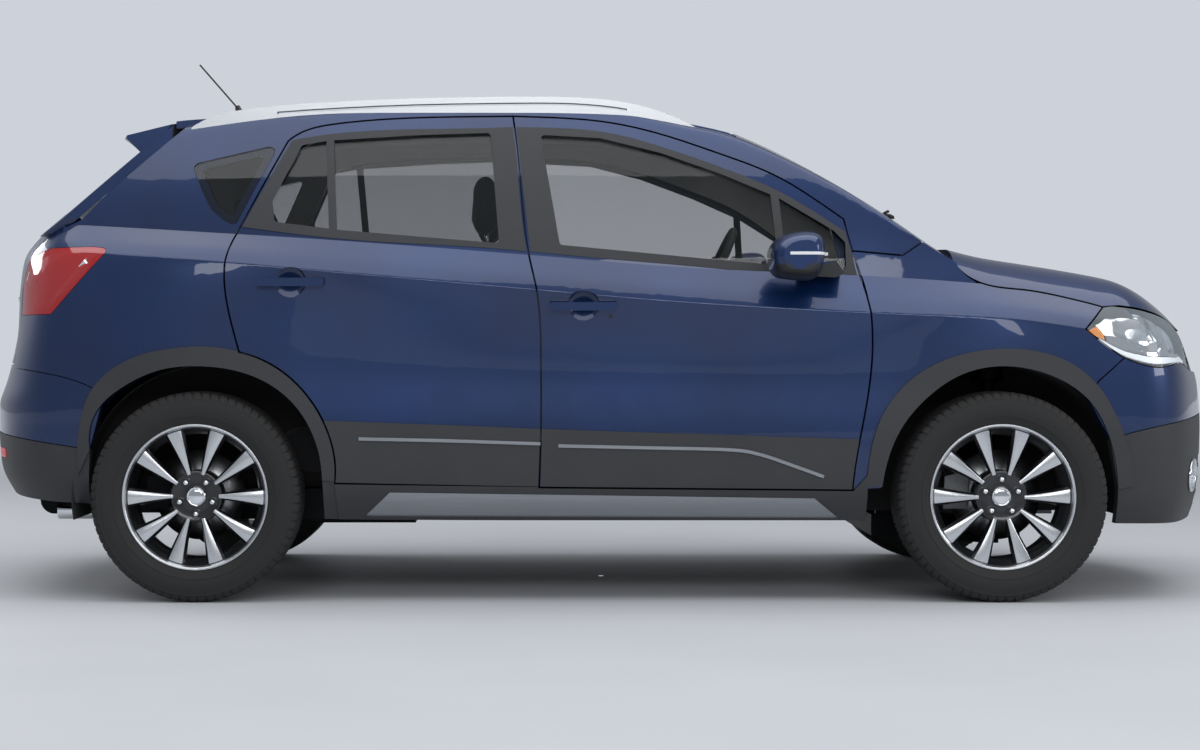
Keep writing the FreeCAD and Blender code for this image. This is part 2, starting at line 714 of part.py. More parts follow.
screen_outline_shares = [(0.0000, 0.7045), (0.3361, 0.7009), (0.6275, 0.6924), (0.7843, 0.6816), (0.7910, 0.6949),
    (0.7641, 0.7855), (0.7059, 0.8761), (0.6633, 0.9221), (0.6275, 0.9269), (0.3361, 0.9384),
    (0.0000, 0.9426)]
lamp_inner_share = 0.583
tail_lamp_inner_share = 0.668


def mirror_loop(shares):
    right = front_places(shares)
    left = [(-p[0], p[1]) for p in reversed(right)]
    points = right + left
    kept = []
    for p in points:
        if not kept or math.hypot(p[0] - kept[-1][0], p[1] - kept[-1][1]) > seat_gap:
            kept.append(p)
    if math.hypot(kept[0][0] - kept[-1][0], kept[0][1] - kept[-1][1]) <= seat_gap:
        kept.pop()
    return kept


inner_depth = door_pocket + inner_wall
frame_depth = frame_pocket + inner_wall * 0.8
half_gap = shut_gap / 2
wide = half_width * 1.2

# Whole side walls, right side
skin_wall = ring_wall(0.0, inner_depth, side_start - 3, side_end + 1)
glass_ledge = 24.0
quarter_runs = rounded(places(quarter_shares), glass_ledge)
quarter_glass = cabin_wall(0.0, glass_thickness).common(prism(quarter_runs, "side", -wide, 0.0, 1.0))
quarter_pocket = cabin_wall(-overrun, glass_thickness + seat_gap).common(prism(quarter_runs, "side", -wide, 0.0, -0.5))
quarter_hole = [run[0] for run in inset_runs(ring_runs(places(quarter_shares)), glass_ledge)]
quarter_hole_prism = prism(rounded(quarter_hole, glass_ledge / 2), "side", -wide, 0.0)
cabin_thick = cabin_wall(0.0, frame_depth).cut(quarter_pocket).cut(quarter_hole_prism)
side_wall = skin_wall.fuse(cabin_thick)

# Door solids
hem_thickness = 12.0
edge_rebate = 15.0
lip_room = 14.0
door_wall = ring_wall(0.0, door_thickness, side_start - 2, side_end - 6)
door_wall = door_wall.fuse(cabin_wall(0.0, frame_thickness, lift=lip_room))
door_inside = ring_wall(hem_thickness, door_thickness + overrun, side_start - 2, side_end - 6)
door_inside = door_inside.fuse(cabin_wall(hem_thickness, frame_thickness + overrun))
pocket_wall = ring_wall(-overrun, door_pocket, side_start - 2, side_end - 6)
pocket_wall = pocket_wall.fuse(cabin_wall(-overrun, frame_pocket))
clad_wall = ring_wall(-cladding_height, -seat_gap, side_start - 6, side_end + 8)
trim_wall = cabin_wall(-trim_height, -seat_gap)
glass_wall = cabin_wall(glass_inset, glass_inset + glass_thickness)

front_window = places(front_window_shares)
rear_window = places(rear_window_shares)
window_radius = 22.0
front_window_runs = rounded(front_window, window_radius)
rear_window_runs = rounded(rear_window, window_radius)

handle_length_share = 0.0835
handle_height = 27.0
handle_stand = 34.0
handle_strap = 17.0
bowl_radius = 50.0
bowl_sink = 22.0
handle_places_shares = [(-0.0192, 0.5758), (-0.3815, 0.6230)]


def skin_half(x, z):
    share = (x - mid_x) / wheelbase
    best = None
    for row in range(rows - 1):
        z0 = overall_height * station_value(row_height_shares[row], share)
        z1 = overall_height * station_value(row_height_shares[row + 1], share)
        if z0 <= z <= z1:
            y0 = half_width * station_value(row_width_shares[row], share)
            y1 = half_width * station_value(row_width_shares[row + 1], share)
            best = y0 + (y1 - y0) * (z - z0) / (z1 - z0)
    return best


def handle(place):
    x, z = place
    y = -skin_half(x, z)
    half = wheelbase * handle_length_share / 2
    h = handle_height / 2
    outline = rounded([(x - half, z - h), (x + half, z - h), (x + half, z + h), (x - half, z + h)], h * 0.9)
    strap = prism(outline, "side", y - handle_stand, y - handle_stand + handle_strap)
    for sx in (-1, 1):
        post = half * 0.82 * sx
        strap = strap.fuse(rod(V(x + post, y - handle_stand + handle_strap / 2, z), V(x + post, y + bowl_sink, z), h * 0.8))
    ball = bowl_radius ** 2 / (2 * bowl_sink) + bowl_sink / 2
    bowl = Part.makeSphere(ball, V(x, y - ball + bowl_sink, z))
    return strap, bowl


def make_door(runs, window, place):
    outline = prism(runs, "side", -wide, 0.0, half_gap)
    rear_strip = outline.cut(moved(outline, edge_rebate, 0, 0))
    panel = door_wall.common(outline).cut(rear_strip.common(door_inside))
    panel = panel.cut(prism(window, "side", -wide, 0.0))
    strap, bowl = handle(place)
    panel = panel.cut(bowl).fuse(strap)
    return panel


handle_places = places(handle_places_shares)
door_swept = ring_wall(-seat_gap, door_pocket, side_start, side_end - 6).fuse(cabin_wall(-seat_gap, frame_pocket))
mirror_swept = ring_wall(-seat_gap, door_pocket, side_start, side_end - 6).fuse(cabin_wall(-trim_height - seat_gap, frame_pocket))
front_door = make_door(front_door_runs, front_window_runs, handle_places[0])
rear_door = make_door(rear_door_runs, rear_window_runs, handle_places[1])
front_glass = glass_wall.common(prism(front_window_runs, "side", -wide, 0.0, seat_gap))
rear_glass = glass_wall.common(prism(rear_window_runs, "side", -wide, 0.0, seat_gap))

front_surround = [places(front_surround_low_shares), [places(front_surround_low_shares)[-1], places(front_surround_top_shares)[0]],
                  places(front_surround_top_shares), [places(front_surround_top_shares)[-1], places(front_surround_low_shares)[0]]]
rear_surround = [places(rear_surround_low_shares), [places(rear_surround_low_shares)[-1], places(rear_surround_top_shares)[0]],
                 places(rear_surround_top_shares), [places(rear_surround_top_shares)[-1], places(rear_surround_low_shares)[0]]]
sight_inset = 7.0
bar_width = 26.0


def bar(low, high):
    dx = high[0] - low[0]
    dz = high[1] - low[1]
    size = math.hypot(dx, dz)
    wx = dz / size * bar_width / 2
    wz = dx / size * bar_width / 2
    points = [(low[0] - wx, low[1] + wz), (low[0] + wx, low[1] - wz), (high[0] + wx, high[1] - wz), (high[0] - wx, high[1] + wz)]
    return ring_runs(points)


front_bar_shares = [(0.2308, 0.6417), (0.2215, 0.8157)]
rear_bar_shares = [(-0.3315, 0.7130), (-0.3400, 0.9275)]


def make_trim(surround, window, door_runs, bar_shares, cladding):
    frame = trim_wall.common(prism(surround, "side", -wide, 0.0, trim_height))
    opening = prism(window, "side", -wide, 0.0, sight_inset)
    ends = places(bar_shares)
    opening = opening.cut(prism(bar(ends[0], ends[1]), "side", -wide, 0.0))
    frame = frame.cut(opening)
    frame = frame.common(prism(door_runs, "side", -wide, 0.0, half_gap + trim_height)).cut(door_swept)
    frame = max(frame.Solids, key=lambda s: s.Volume)
    line = places(cladding)
    low_z = overall_height * 0.15
    lower = [line, [line[-1], (line[-1][0], low_z)], [(line[-1][0], low_z), (line[0][0], low_z)], [(line[0][0], low_z), line[0]]]
    plate = clad_wall.common(prism(lower, "side", -wide, 0.0))
    plate = plate.common(prism(door_runs, "side", -wide, 0.0, half_gap))
    return frame, plate


front_frame, front_plate = make_trim(front_surround, front_window_runs, front_door_runs, front_bar_shares,
                                     front_cladding_shares)
rear_frame, rear_plate = make_trim(rear_surround, rear_window_runs, rear_door_runs, rear_bar_shares,
                                   rear_cladding_shares)

# Door mirrors
mirror_shares = [(0.2096, 0.6465), (0.2154, 0.7009), (0.2462, 0.7190), (0.2692, 0.7118), (0.2738, 0.6647),
    (0.2654, 0.6320), (0.2308, 0.6284)]
mirror_depth_share = 0.235
mirror_arm_shares = [(0.2462, 0.6356), (0.2500, 0.6586), (0.2923, 0.6647), (0.3038, 0.6405), (0.2923, 0.6320)]


def make_mirror():
    points = places(mirror_shares)
    y = -half_width * 0.935
    y1 = y - half_width * mirror_depth_share
    centre_x = sum(p[0] for p in points) / len(points)
    centre_z = sum(p[1] for p in points) / len(points)
    sections = []
    for along, size in ((0.0, 0.72), (0.18, 0.98), (0.55, 1.0), (0.85, 0.88), (1.0, 0.60)):
        yy = y + (y1 - y) * along
        loop = [V(centre_x + (p[0] - centre_x) * size, yy, centre_z + (p[1] - centre_z) * size) for p in points]
        curve = Part.BSplineCurve()
        curve.interpolate(loop, True)
        sections.append(Part.Wire(curve.toShape()))
    housing = Part.makeLoft(sections, True)
    arm = prism(rounded(places(mirror_arm_shares), 10.0), "side", y - half_width * 0.05, -half_width * 0.85)
    arm = arm.cut(mirror_swept)
    return housing.fuse(arm)


mirror = make_mirror()

# Tailgate
lid_loop = mirror_loop(lid_shares)
lid_runs = ring_runs(lid_loop)
lid_lower = ring_wall(0.0, lid_thickness, -13, 13)
lid_upper = rear_screen_wall(0.0, lid_thickness)
lid_runs_inset = prism(lid_runs, "front", -long_overrun - overall_height * 2, 0.0, half_gap)
hinge_x = place_x(tail_shut_shares[1][0])
tail_shut = places(tail_shut_shares)


def behind_shut(margin):
    points = tail_shut + [(tail_shut[-1][0], 0.0), (tail_shut[-1][0] - wheelbase, 0.0), (tail_shut[-1][0] - wheelbase, tail_shut[0][1])]
    return prism(ring_runs(points), "side", -wide, wide, margin)


lid_seam_share = 0.722
lid_seam = overall_height * lid_seam_share
lid = lid_lower.common(box(-wheelbase, 0.0, -wide, wide, 0.0, lid_seam)).fuse(
    lid_upper.common(box(-wheelbase, 0.0, -wide, wide, lid_seam, overall_height)))
lid = lid.common(lid_runs_inset)
joint_top = places(tail_joint_shares)
spoiler_end_share = 0.672
spoiler_station_shares = (-1.0, -0.62, 0.0, 0.62, 1.0)


# The spoiler is lofted across the lid and droops towards its ends
def make_spoiler():
    middle = places(spoiler_middle_shares)
    end = places(spoiler_end_shares)
    sections = []
    for station in spoiler_station_shares:
        bend = abs(station) ** 2
        y = half_width * spoiler_end_share * station
        loop = [V(m[0] + (e[0] - m[0]) * bend, y, m[1] + (e[1] - m[1]) * bend) for m, e in zip(middle, end)]
        sections.append(Part.makePolygon(loop + loop[:1]))
    return Part.makeLoft(sections, True)


spoiler = make_spoiler()
spoiler = spoiler.common(prism(lid_runs, "front", -long_overrun - overall_height * 2, 0.0, half_gap))
spoiler = spoiler.common(behind_shut(half_gap * 1.6))
lid = lid.fuse(spoiler)
lid_front = box(hinge_x - wheelbase, hinge_x, -wide, wide, 0.0, overall_height * 1.1)
lid = lid.common(lid_front)
lid_glass_loop = mirror_loop(lid_glass_shares)
lid_glass_prism_runs = rounded(lid_glass_loop, window_radius)
lid_window_cut = prism(lid_glass_prism_runs, "front", -wheelbase, 0.0)
lid_glass = rear_screen_wall(4.0, 4.0 + glass_thickness).common(prism(lid_glass_prism_runs, "front", -wheelbase, 0.0, seat_gap))
lid = lid.cut(lid_window_cut.common(box(-wheelbase, 0.0, -wide, wide, lid_seam, overall_height)))

# Tailgate pocket in the body
lid_pocket = ring_wall(-overrun, lid_thickness + seat_gap, -13, 13).common(box(-wheelbase, 0.0, -wide, wide, 0.0, lid_seam))
lid_pocket = lid_pocket.fuse(rear_screen_wall(-overrun, lid_thickness + seat_gap).common(
    box(-wheelbase, 0.0, -wide, wide, lid_seam, overall_height)))
lid_pocket = lid_pocket.common(prism(lid_runs, "front", -wheelbase * 2, 0.0, -half_gap))
lid_hole = prism(ring_runs(mirror_loop(lid_hole_shares)), "front", -wheelbase * 2, 0.0)

# Body sides
side_front_share = 0.372
body_low = overall_height * 0.158
arch_cut_rear = [arch_rear_inner, [arch_rear_inner[-1], (arch_rear_inner[-1][0], -overrun)],
                 [(arch_rear_inner[-1][0], -overrun), (arch_rear_inner[0][0], -overrun)], [(arch_rear_inner[0][0], -overrun), arch_rear_inner[0]]]
arch_cut_front = [arch_front_inner, [arch_front_inner[-1], (arch_front_inner[-1][0], -overrun)],
                  [(arch_front_inner[-1][0], -overrun), (arch_front_inner[0][0], -overrun)], [(arch_front_inner[0][0], -overrun), arch_front_inner[0]]]
arch_cut_rear_solid = prism(arch_cut_rear, "side", -wide, 0.0)
arch_cut_front_solid = prism(arch_cut_front, "side", -wide, 0.0)
post_x = place_x(side_front_share)
body_points = [(place_x(0.330), body_low), (place_x(0.330), overall_height * 0.30), (post_x, overall_height * 0.47), (post_x, overall_height * 0.66), (place_x(0.53), overall_height * 0.66),
               (place_x(0.53), overall_height * 1.1), (tail_shut[0][0], overall_height * 1.1)]
joint_low = joint_top[0][1] - overrun
body_points += tail_shut[1:] + [(place_x(-0.9), tail_shut[-1][1]), (place_x(-0.9), joint_low)]
body_points += [(arch_rear_inner[2][0], joint_low), (arch_rear_inner[2][0], body_low)]
tail_split = [arch_rear_inner[1]] + places(tail_split_shares)
tail_upper_runs = [joint_top, [joint_top[-1], tail_split[-1]], tail_split[::-1],
                   [tail_split[0], arch_rear_inner[2]], [arch_rear_inner[2], joint_top[0]]]
body_prism = prism(ring_runs(body_points), "side", -wide, 0.0)
rear_corner = ring_wall(0.0, lid_thickness + inner_wall, 2, side_start + 3)
body_side = side_wall.fuse(rear_corner)
body_side = body_side.common(body_prism)
body_side = body_side.cut(prism(tail_upper_runs, "side", -wide, 0.0, -half_gap * 0.5))
door_pockets = pocket_wall.common(prism(front_door_runs, "side", -wide, 0.0, -half_gap).fuse(
    prism(rear_door_runs, "side", -wide, 0.0, -half_gap)))
body_side = body_side.cut(door_pockets)
body_side = body_side.cut(prism(front_door_runs, "side", -wide, 0.0, aperture_inset))
body_side = body_side.cut(prism(rear_door_runs, "side", -wide, 0.0, aperture_inset))
body_side = body_side.cut(arch_cut_rear_solid)

wing_points = [places(wing_top_shares), places(wing_post_shares), places(wing_cowl_shares), places(bonnet_line_shares),
               places(lamp_back_shares), places(lamp_low_shares), places(wing_joint_shares)]
wing_low = (arch_front_inner[1][0], overall_height * 0.2212)
front_line = places(front_line_shares)
wing_runs = wing_points + [[wing_points[-1][-1], arch_front_inner[8]], list(reversed(arch_front_inner[1:9])),
                           [arch_front_inner[1], wing_low], [wing_low, front_line[0]], front_line[:-1] + [wing_points[0][0]]]
wing_wall = ring_wall(0.0, fender_thickness, side_end - 26, side_end + 6).fuse(cabin_wall(0.0, frame_thickness))
wing = wing_wall.common(prism(wing_runs, "side", -wide, 0.0, half_gap))
wing = wing.cut(prism(front_door_runs, "side", -wide, 0.0, -half_gap))
wing_pocket = ring_wall(-overrun, fender_thickness + seat_gap, side_end - 26, side_end + 6).fuse(
    cabin_wall(-overrun, frame_pocket))
wing_pocket = wing_pocket.common(prism(wing_runs, "side", -wide, 0.0, -half_gap))
body_side = body_side.cut(wing_pocket)

# Screens cut the pillars and the roof
screen_depth = 11.0
screen_runs = ring_runs(mirror_loop(screen_outline_shares))
screen_front = front_screen_wall(0.0, wheelbase)
screen_glass = front_screen_wall(0.0, -screen_depth).common(prism(screen_runs, "front", 0.0, wheelbase))
screen_pocket = front_screen_wall(overrun, -screen_depth - seat_gap).common(
    prism(screen_runs, "front", 0.0, wheelbase, -half_gap))
body_side = body_side.cut(screen_front).cut(screen_pocket)
wing = wing.cut(screen_front).cut(screen_pocket)
rear_screen_back = rear_screen_wall(0.0, -wheelbase)
body_side = body_side.cut(rear_screen_back.common(box(-wheelbase, 0.0, -wide, wide, lid_seam, overall_height * 1.1)))
body_side = body_side.cut(lid_pocket).cut(lid_hole)
roof_edge = roof_cut_half + seat_gap
body_side = body_side.cut(box(-wheelbase, wheelbase, -roof_edge, 0.0, overall_height * 0.9, overall_height * 1.1))

roof = wall(roof_net(0.0), roof_net(roof_thickness))
roof = roof.common(box(hinge_x + shut_gap, wheelbase, -roof_cut_half, roof_cut_half, 0.0, overall_height * 1.1))
roof = roof.cut(screen_front).cut(screen_pocket)

# Tail lamps
tail_lamp_loop = places(tail_lamp_shares)
tail_lamp_runs = rounded(tail_lamp_loop, 14.0)
tail_inner = half_width * tail_lamp_inner_share
tail_lamp = ring_wall(0.0, lid_thickness, 3, side_start + 5).common(prism(tail_lamp_runs, "side", -wide, 0.0, 1.5))
tail_lamp = tail_lamp.common(box(-wheelbase, 0.0, -wide, -tail_inner - shut_gap, 0.0, overall_height))
tail_lamp = tail_lamp.cut(prism(lid_runs, "front", -wheelbase * 2, 0.0, -half_gap))
tail_pocket = ring_wall(-overrun, lid_thickness + seat_gap, 3, side_start + 5).common(prism(tail_lamp_runs, "side", -wide, 0.0))
tail_pocket = tail_pocket.common(box(-wheelbase, 0.0, -wide, 0.0, 0.0, overall_height))
body_side = body_side.cut(tail_pocket)

# Bumpers, grille and head lamps
nose_span = (side_end - 3, nose_middle + corner_columns + 3)
nose_wall = ring_wall(0.0, bumper_thickness, nose_span[0], nose_span[1])
upper_runs = [places(wing_joint_shares)[::-1], places(lamp_base_shares), places(grille_low_shares)]
far = upper_runs[-1][-1]
split = [arch_front_inner[9]] + places(bumper_split_shares)
upper_runs += [[far, split[-1]], split[::-1], [split[0], arch_front_inner[8]],
               [arch_front_inner[8], upper_runs[0][0]]]
front_bumper = nose_wall.common(prism(upper_runs, "side", -wide, wide, half_gap * 0.5))
skirt = places(skirt_low_shares)
lower_runs = [split, [split[-1], skirt[1]], [skirt[1], skirt[0]], [skirt[0], arch_front_inner[11]],
              [arch_front_inner[11], arch_front_inner[10]], [arch_front_inner[10], split[0]]]
front_bumper_lower = nose_wall.common(prism(lower_runs, "side", -wide, wide, half_gap * 0.5))
lamp_runs = [places(lamp_back_shares), places(lamp_low_shares), places(lamp_base_shares)]
lamp_top = places(lamp_top_shares)
lamp_runs += [[lamp_runs[-1][-1], lamp_top[0]], lamp_top]
lamp_inner = half_width * lamp_inner_share
head_lamp = ring_wall(0.0, lamp_depth, side_end - 8, nose_middle - 1).common(prism(lamp_runs, "side", -wide, 0.0, 2.0))
head_lamp = head_lamp.common(box(0.0, wheelbase, -wide, -lamp_inner, 0.0, overall_height))
grille_low = places(grille_low_shares)
nose_lip = places(nose_lip_shares)
grille_runs = [grille_low, [grille_low[-1], nose_lip[-1]], nose_lip[::-1], [nose_lip[0], grille_low[0]]]
grille_block = ring_wall(10.0, 40.0, side_end + 4, nose_middle + corner_columns - 4)
grille = grille_block.common(prism(grille_runs, "side", -wide, wide, 2.0))
grille_half = lamp_inner - shut_gap
grille = grille.common(box(0.0, wheelbase, -grille_half, grille_half, 0.0, overall_height))
grille_edge = 15.0
grille_bar = 11.0
grille_rows = 3
grille_columns = 6


# Open cells between the bars, as one compound of boxes
def cells(half, low, high, rows_up, columns_across):
    out = []
    cell_width = (2 * half - grille_bar * (columns_across - 1)) / columns_across
    cell_height = (high - low - grille_bar * (rows_up - 1)) / rows_up
    for column in range(columns_across):
        y0 = -half + column * (cell_width + grille_bar)
        for row in range(rows_up):
            z0 = low + row * (cell_height + grille_bar)
            out.append(box(0.0, wheelbase, y0, y0 + cell_width, z0, z0 + cell_height))
    return Part.makeCompound(out)


grille_low_z = grille_low[0][1]
grille_high_z = nose_lip[-1][1]
grille = grille.cut(cells(grille_half - grille_edge, grille_low_z + grille_edge, grille_high_z - grille_edge,
                          grille_rows, grille_columns))
intake_half = 400.0
intake_low = 285.0
intake_high = 455.0
intake_rows = 4
front_bumper_lower = front_bumper_lower.cut(cells(intake_half, intake_low, intake_high, intake_rows, 3))

tail_wall = ring_wall(0.0, bumper_thickness, -(side_start + 4), side_start + 4)
tail_skirt = places(tail_skirt_low_shares)
rear_bumper = tail_wall.common(prism(tail_upper_runs, "side", -wide, wide, half_gap * 0.5))
tail_lower_runs = [tail_split, [tail_split[-1], tail_skirt[-1]], tail_skirt[::-1], [tail_skirt[0], arch_rear_inner[0]],
                   [arch_rear_inner[0], tail_split[0]]]
rear_bumper_lower = tail_wall.common(prism(tail_lower_runs, "side", -wide, wide, half_gap * 0.5))

# Bonnet
bonnet = wall(bonnet_net(0.0), bonnet_net(bonnet_thickness))
bonnet_edge = places(bonnet_line_shares)
top_limit = overall_height * 0.75
bonnet_side = [bonnet_edge, [bonnet_edge[-1], lamp_top[3]], lamp_top[3::-1], nose_lip,
               [nose_lip[-1], (nose_lip[-1][0], top_limit)], [(nose_lip[-1][0], top_limit), (bonnet_edge[0][0], top_limit)],
               [(bonnet_edge[0][0], top_limit), bonnet_edge[0]]]
bonnet = bonnet.common(prism(bonnet_side, "side", -wide, wide, half_gap))
bonnet_space = wall(bonnet_net(-long_overrun * 0.5), bonnet_net(bonnet_thickness + shut_gap))
body_side = body_side.cut(bonnet_space.common(prism(bonnet_side, "side", -wide, wide, -half_gap)))

# Lower trim on the body
arch_ring_front = [arch_front_outer, [arch_front_outer[-1], arch_front_inner[-2]], list(reversed(arch_front_inner[1:-1])),
                   [arch_front_inner[1], arch_front_outer[0]]]
arch_ring_rear = [arch_rear_outer, [arch_rear_outer[-1], arch_rear_inner[-2]], list(reversed(arch_rear_inner[1:-1])),
                  [arch_rear_inner[1], arch_rear_outer[0]]]
front_trim = clad_wall.common(prism(arch_ring_front, "side", -wide, 0.0))
rear_trim = clad_wall.common(prism(arch_ring_rear, "side", -wide, 0.0))
front_trim = front_trim.cut(prism(front_door_runs, "side", -wide, 0.0, -half_gap))
rear_trim = rear_trim.cut(prism(rear_door_runs, "side", -wide, 0.0, -half_gap))

# Sill trim joins the arch trims
sill_line = places(door_sill_shares)
sill_runs = ring_runs([(sill_line[0][0] + shut_gap * 2, body_low), (sill_line[2][0] + shut_gap * 8, body_low),
                       (sill_line[2][0] + shut_gap * 8, sill_line[2][1] + shut_gap * 8),
                       (sill_line[2][0] + half_gap, sill_line[2][1] - half_gap), (sill_line[0][0], sill_line[0][1] - half_gap)])
sill_trim = clad_wall.common(prism(sill_runs, "side", -wide, 0.0))
sill_trim = sill_trim.cut(arch_cut_front_solid).cut(arch_cut_rear_solid)
sill_trim = sill_trim.cut(prism(front_door_runs, "side", -wide, 0.0, -half_gap))
side_trim = front_trim.fuse(sill_trim).fuse(rear_trim)

# Roof rails
rail_top_shares = [(-0.5192, 0.9378), (-0.5000, 0.9547), (-0.4827, 0.9644), (-0.4442, 0.9758),
    (-0.4092, 0.9819), (-0.3354, 0.9897), (-0.2269, 0.9970), (-0.1088, 1.0000),
    (-0.0204, 0.9982), (0.0385, 0.9879), (0.0677, 0.9770), (0.0973, 0.9607),
    (0.1269, 0.9378)]
rail_width = 40.0
rail_inner = roof_cut_half + seat_gap * 10
rail_drop_share = 0.06
rail_top = places(rail_top_shares)
rail_low = [(p[0], p[1] - overall_height * rail_drop_share) for p in rail_top]
rail_runs = [rail_top, [rail_top[-1], rail_low[-1]], rail_low[::-1], [rail_low[0], rail_top[0]]]
rail = prism(rail_runs, "side", -rail_inner - rail_width, -rail_inner)
rail_bar = 20.0
rail_slot_height = 9.0
rail_slot_run = [(p[0], p[1] - rail_bar) for p in rail_top[4:10]]
rail_slot_low = [(p[0], p[1] - rail_slot_height) for p in rail_slot_run]
rail_slot = [rail_slot_run, [rail_slot_run[-1], rail_slot_low[-1]], rail_slot_low[::-1], [rail_slot_low[0], rail_slot_run[0]]]
rail = rail.cut(prism(rail_slot, "side", -wide, 0.0))
rail = rail.cut(body_side).cut(moved(body_side, 0, 0, seat_gap))
rail = max(rail.Solids, key=lambda s: s.BoundBox.ZMax)

# Antenna at the back of the roof
antenna_shares = [(-0.4808, 0.9740), (-0.4904, 1.0199), (-0.5412, 1.1063)]
antenna_foot = places(antenna_shares)[0]
antenna_neck = places(antenna_shares)[1]
antenna_tip = places(antenna_shares)[2]
antenna_base_radius = 26.0
antenna_neck_radius = 8.0
antenna_rod_radius = 3.0
antenna = Part.makeCone(antenna_base_radius, antenna_neck_radius, antenna_neck[1] - antenna_foot[1],
                        V(antenna_foot[0], 0, antenna_foot[1]), V(antenna_neck[0] - antenna_foot[0], 0, antenna_neck[1] - antenna_foot[1]))
antenna = antenna.fuse(rod(V(antenna_neck[0], 0, antenna_neck[1] - antenna_neck_radius),
                           V(antenna_tip[0], 0, antenna_tip[1]), antenna_rod_radius))
antenna_post = rod(V(antenna_foot[0], 0, antenna_foot[1] - roof_thickness), V(antenna_foot[0], 0, antenna_foot[1] + antenna_base_radius),
                   antenna_base_radius * 0.8)
antenna = antenna.fuse(antenna_post).cut(moved(roof, 0, 0, seat_gap))
antenna = max(antenna.Solids, key=lambda s: s.BoundBox.ZMax)

# Cabin floor, bulkhead, front rails and rear floor in one pressed body
floor_low = 268.0
floor_plate = 28.0
rear_floor_low = 353.0
rail_half = 425.0
rail_box_width = 56.0
rail_box_height = 120.0
rail_low_z = 420.0
tower_low = 806.0
tower_plate = 18.0
bulkhead_share = 0.392
bulkhead_plate = 20.0
cowl_height_share = 0.655
bulkhead_step_share = 0.60
support_half = 560.0
front_support_share = 0.745
rear_floor_front_share = -0.2154
rear_floor_back_share = -0.745
liner_radius = 425.0
liner_wall = 3.0
liner_inner_front = 452.0
liner_inner_rear = 566.0
rear_arch_x = (arch_rear_inner[0][0] + arch_rear_inner[-1][0]) / 2
x_floor0 = place_x(rear_floor_front_share)
x_bulk = place_x(bulkhead_share)
x_support = place_x(front_support_share)
x_tail = place_x(rear_floor_back_share)
floor = box(x_floor0, x_bulk + bulkhead_plate, -wide, wide, floor_low, floor_low + floor_plate)
floor = floor.fuse(box(x_bulk, x_bulk + bulkhead_plate, -wide, wide, floor_low, overall_height * bulkhead_step_share))
floor = floor.fuse(box(x_bulk, x_bulk + bulkhead_plate, -support_half, support_half, floor_low, overall_height * cowl_height_share))
floor = floor.fuse(box(x_tail, x_floor0 + floor_plate, -wide, wide, rear_floor_low, rear_floor_low + floor_plate))
floor = floor.fuse(box(x_floor0, x_floor0 + floor_plate, -wide, wide, floor_low, rear_floor_low + floor_plate))
floor = floor.fuse(box(x_tail, x_tail + bulkhead_plate, -wide, wide, rear_floor_low, overall_height * 0.40))
tunnel_half = 110.0
tunnel_rise = 90.0
floor = floor.fuse(box(x_floor0, x_bulk, -tunnel_half, tunnel_half, floor_low, floor_low + tunnel_rise))
floor = floor.cut(box(x_floor0 - overrun, x_bulk + overrun, -tunnel_half + bulkhead_plate, tunnel_half - bulkhead_plate,
                      0.0, floor_low + tunnel_rise - bulkhead_plate))
# Jack pads under the floor, near the ends of the sills
jack_pad_shares = (0.242308, -0.180769)
jack_pad_y = 600.0
jack_pad_length = 90.0
jack_pad_width = 60.0
jack_pad_depth = 14.0
for pad_share in jack_pad_shares:
    for sy in (-1, 1):
        pad_x = place_x(pad_share)
        floor = floor.fuse(box(pad_x - jack_pad_length / 2, pad_x + jack_pad_length / 2,
                               sy * jack_pad_y - jack_pad_width / 2, sy * jack_pad_y + jack_pad_width / 2,
                               floor_low - jack_pad_depth, floor_low + floor_plate / 2))
support_low = 330.0
support_bar = 60.0
support_depth = 30.0
for sy in (-1, 1):
    y0 = sy * rail_half - rail_box_width / 2
    y1 = sy * rail_half + rail_box_width / 2
    floor = floor.fuse(box(x_bulk, x_support, y0, y1, rail_low_z, rail_low_z + rail_box_height))
    tower_y0 = min(sy * (rail_half - rail_box_width / 2), sy * tyre_radius * 2.0)
    tower_y1 = max(sy * (rail_half - rail_box_width / 2), sy * tyre_radius * 2.0)
    half_tower = tyre_radius * 0.34
    floor = floor.fuse(box(front_axle_x - half_tower, front_axle_x + half_tower, tower_y0, tower_y1, tower_low, tower_low + tower_plate))
    floor = floor.fuse(box(front_axle_x - half_tower, front_axle_x + half_tower, min(y0, y1), min(y0, y1) + bulkhead_plate,
                           rail_low_z, tower_low + tower_plate))
    floor = floor.fuse(box(x_support, x_support + support_depth, sy * rail_half - support_bar, sy * rail_half + support_bar,
                           support_low, overall_height * 0.50))
floor = floor.fuse(box(x_support, x_support + support_depth, -support_half, support_half, support_low, support_low + support_bar))
floor = floor.fuse(box(x_support, x_support + support_depth, -support_half, support_half, overall_height * 0.50 - support_bar, overall_height * 0.50))
side_keep = ring_wall(-overrun * 3, inner_depth + seat_gap, 1, side_end + 2)
side_keep_all = side_keep.fuse(mirrored(side_keep))
floor = floor.cut(side_keep_all).cut(wing_pocket).cut(mirrored(wing_pocket))
lamp_line = overall_height * 0.44
nose_low_keep = ring_wall(-overrun * 3, bumper_thickness + seat_gap, side_end - 2, nose_middle + corner_columns + 2)
nose_high_keep = ring_wall(-overrun * 3, lamp_depth + seat_gap, side_end - 8, nose_middle + corner_columns + 8)
floor = floor.cut(nose_low_keep.common(box(0.0, wheelbase, -wide, wide, 0.0, lamp_line)))
floor = floor.cut(nose_high_keep.common(box(0.0, wheelbase, -wide, wide, lamp_line, overall_height)))
tub_front = rod(V(front_axle_x, -wide, tyre_radius), V(front_axle_x, -liner_inner_front + liner_wall * 2, tyre_radius), liner_radius + liner_wall)
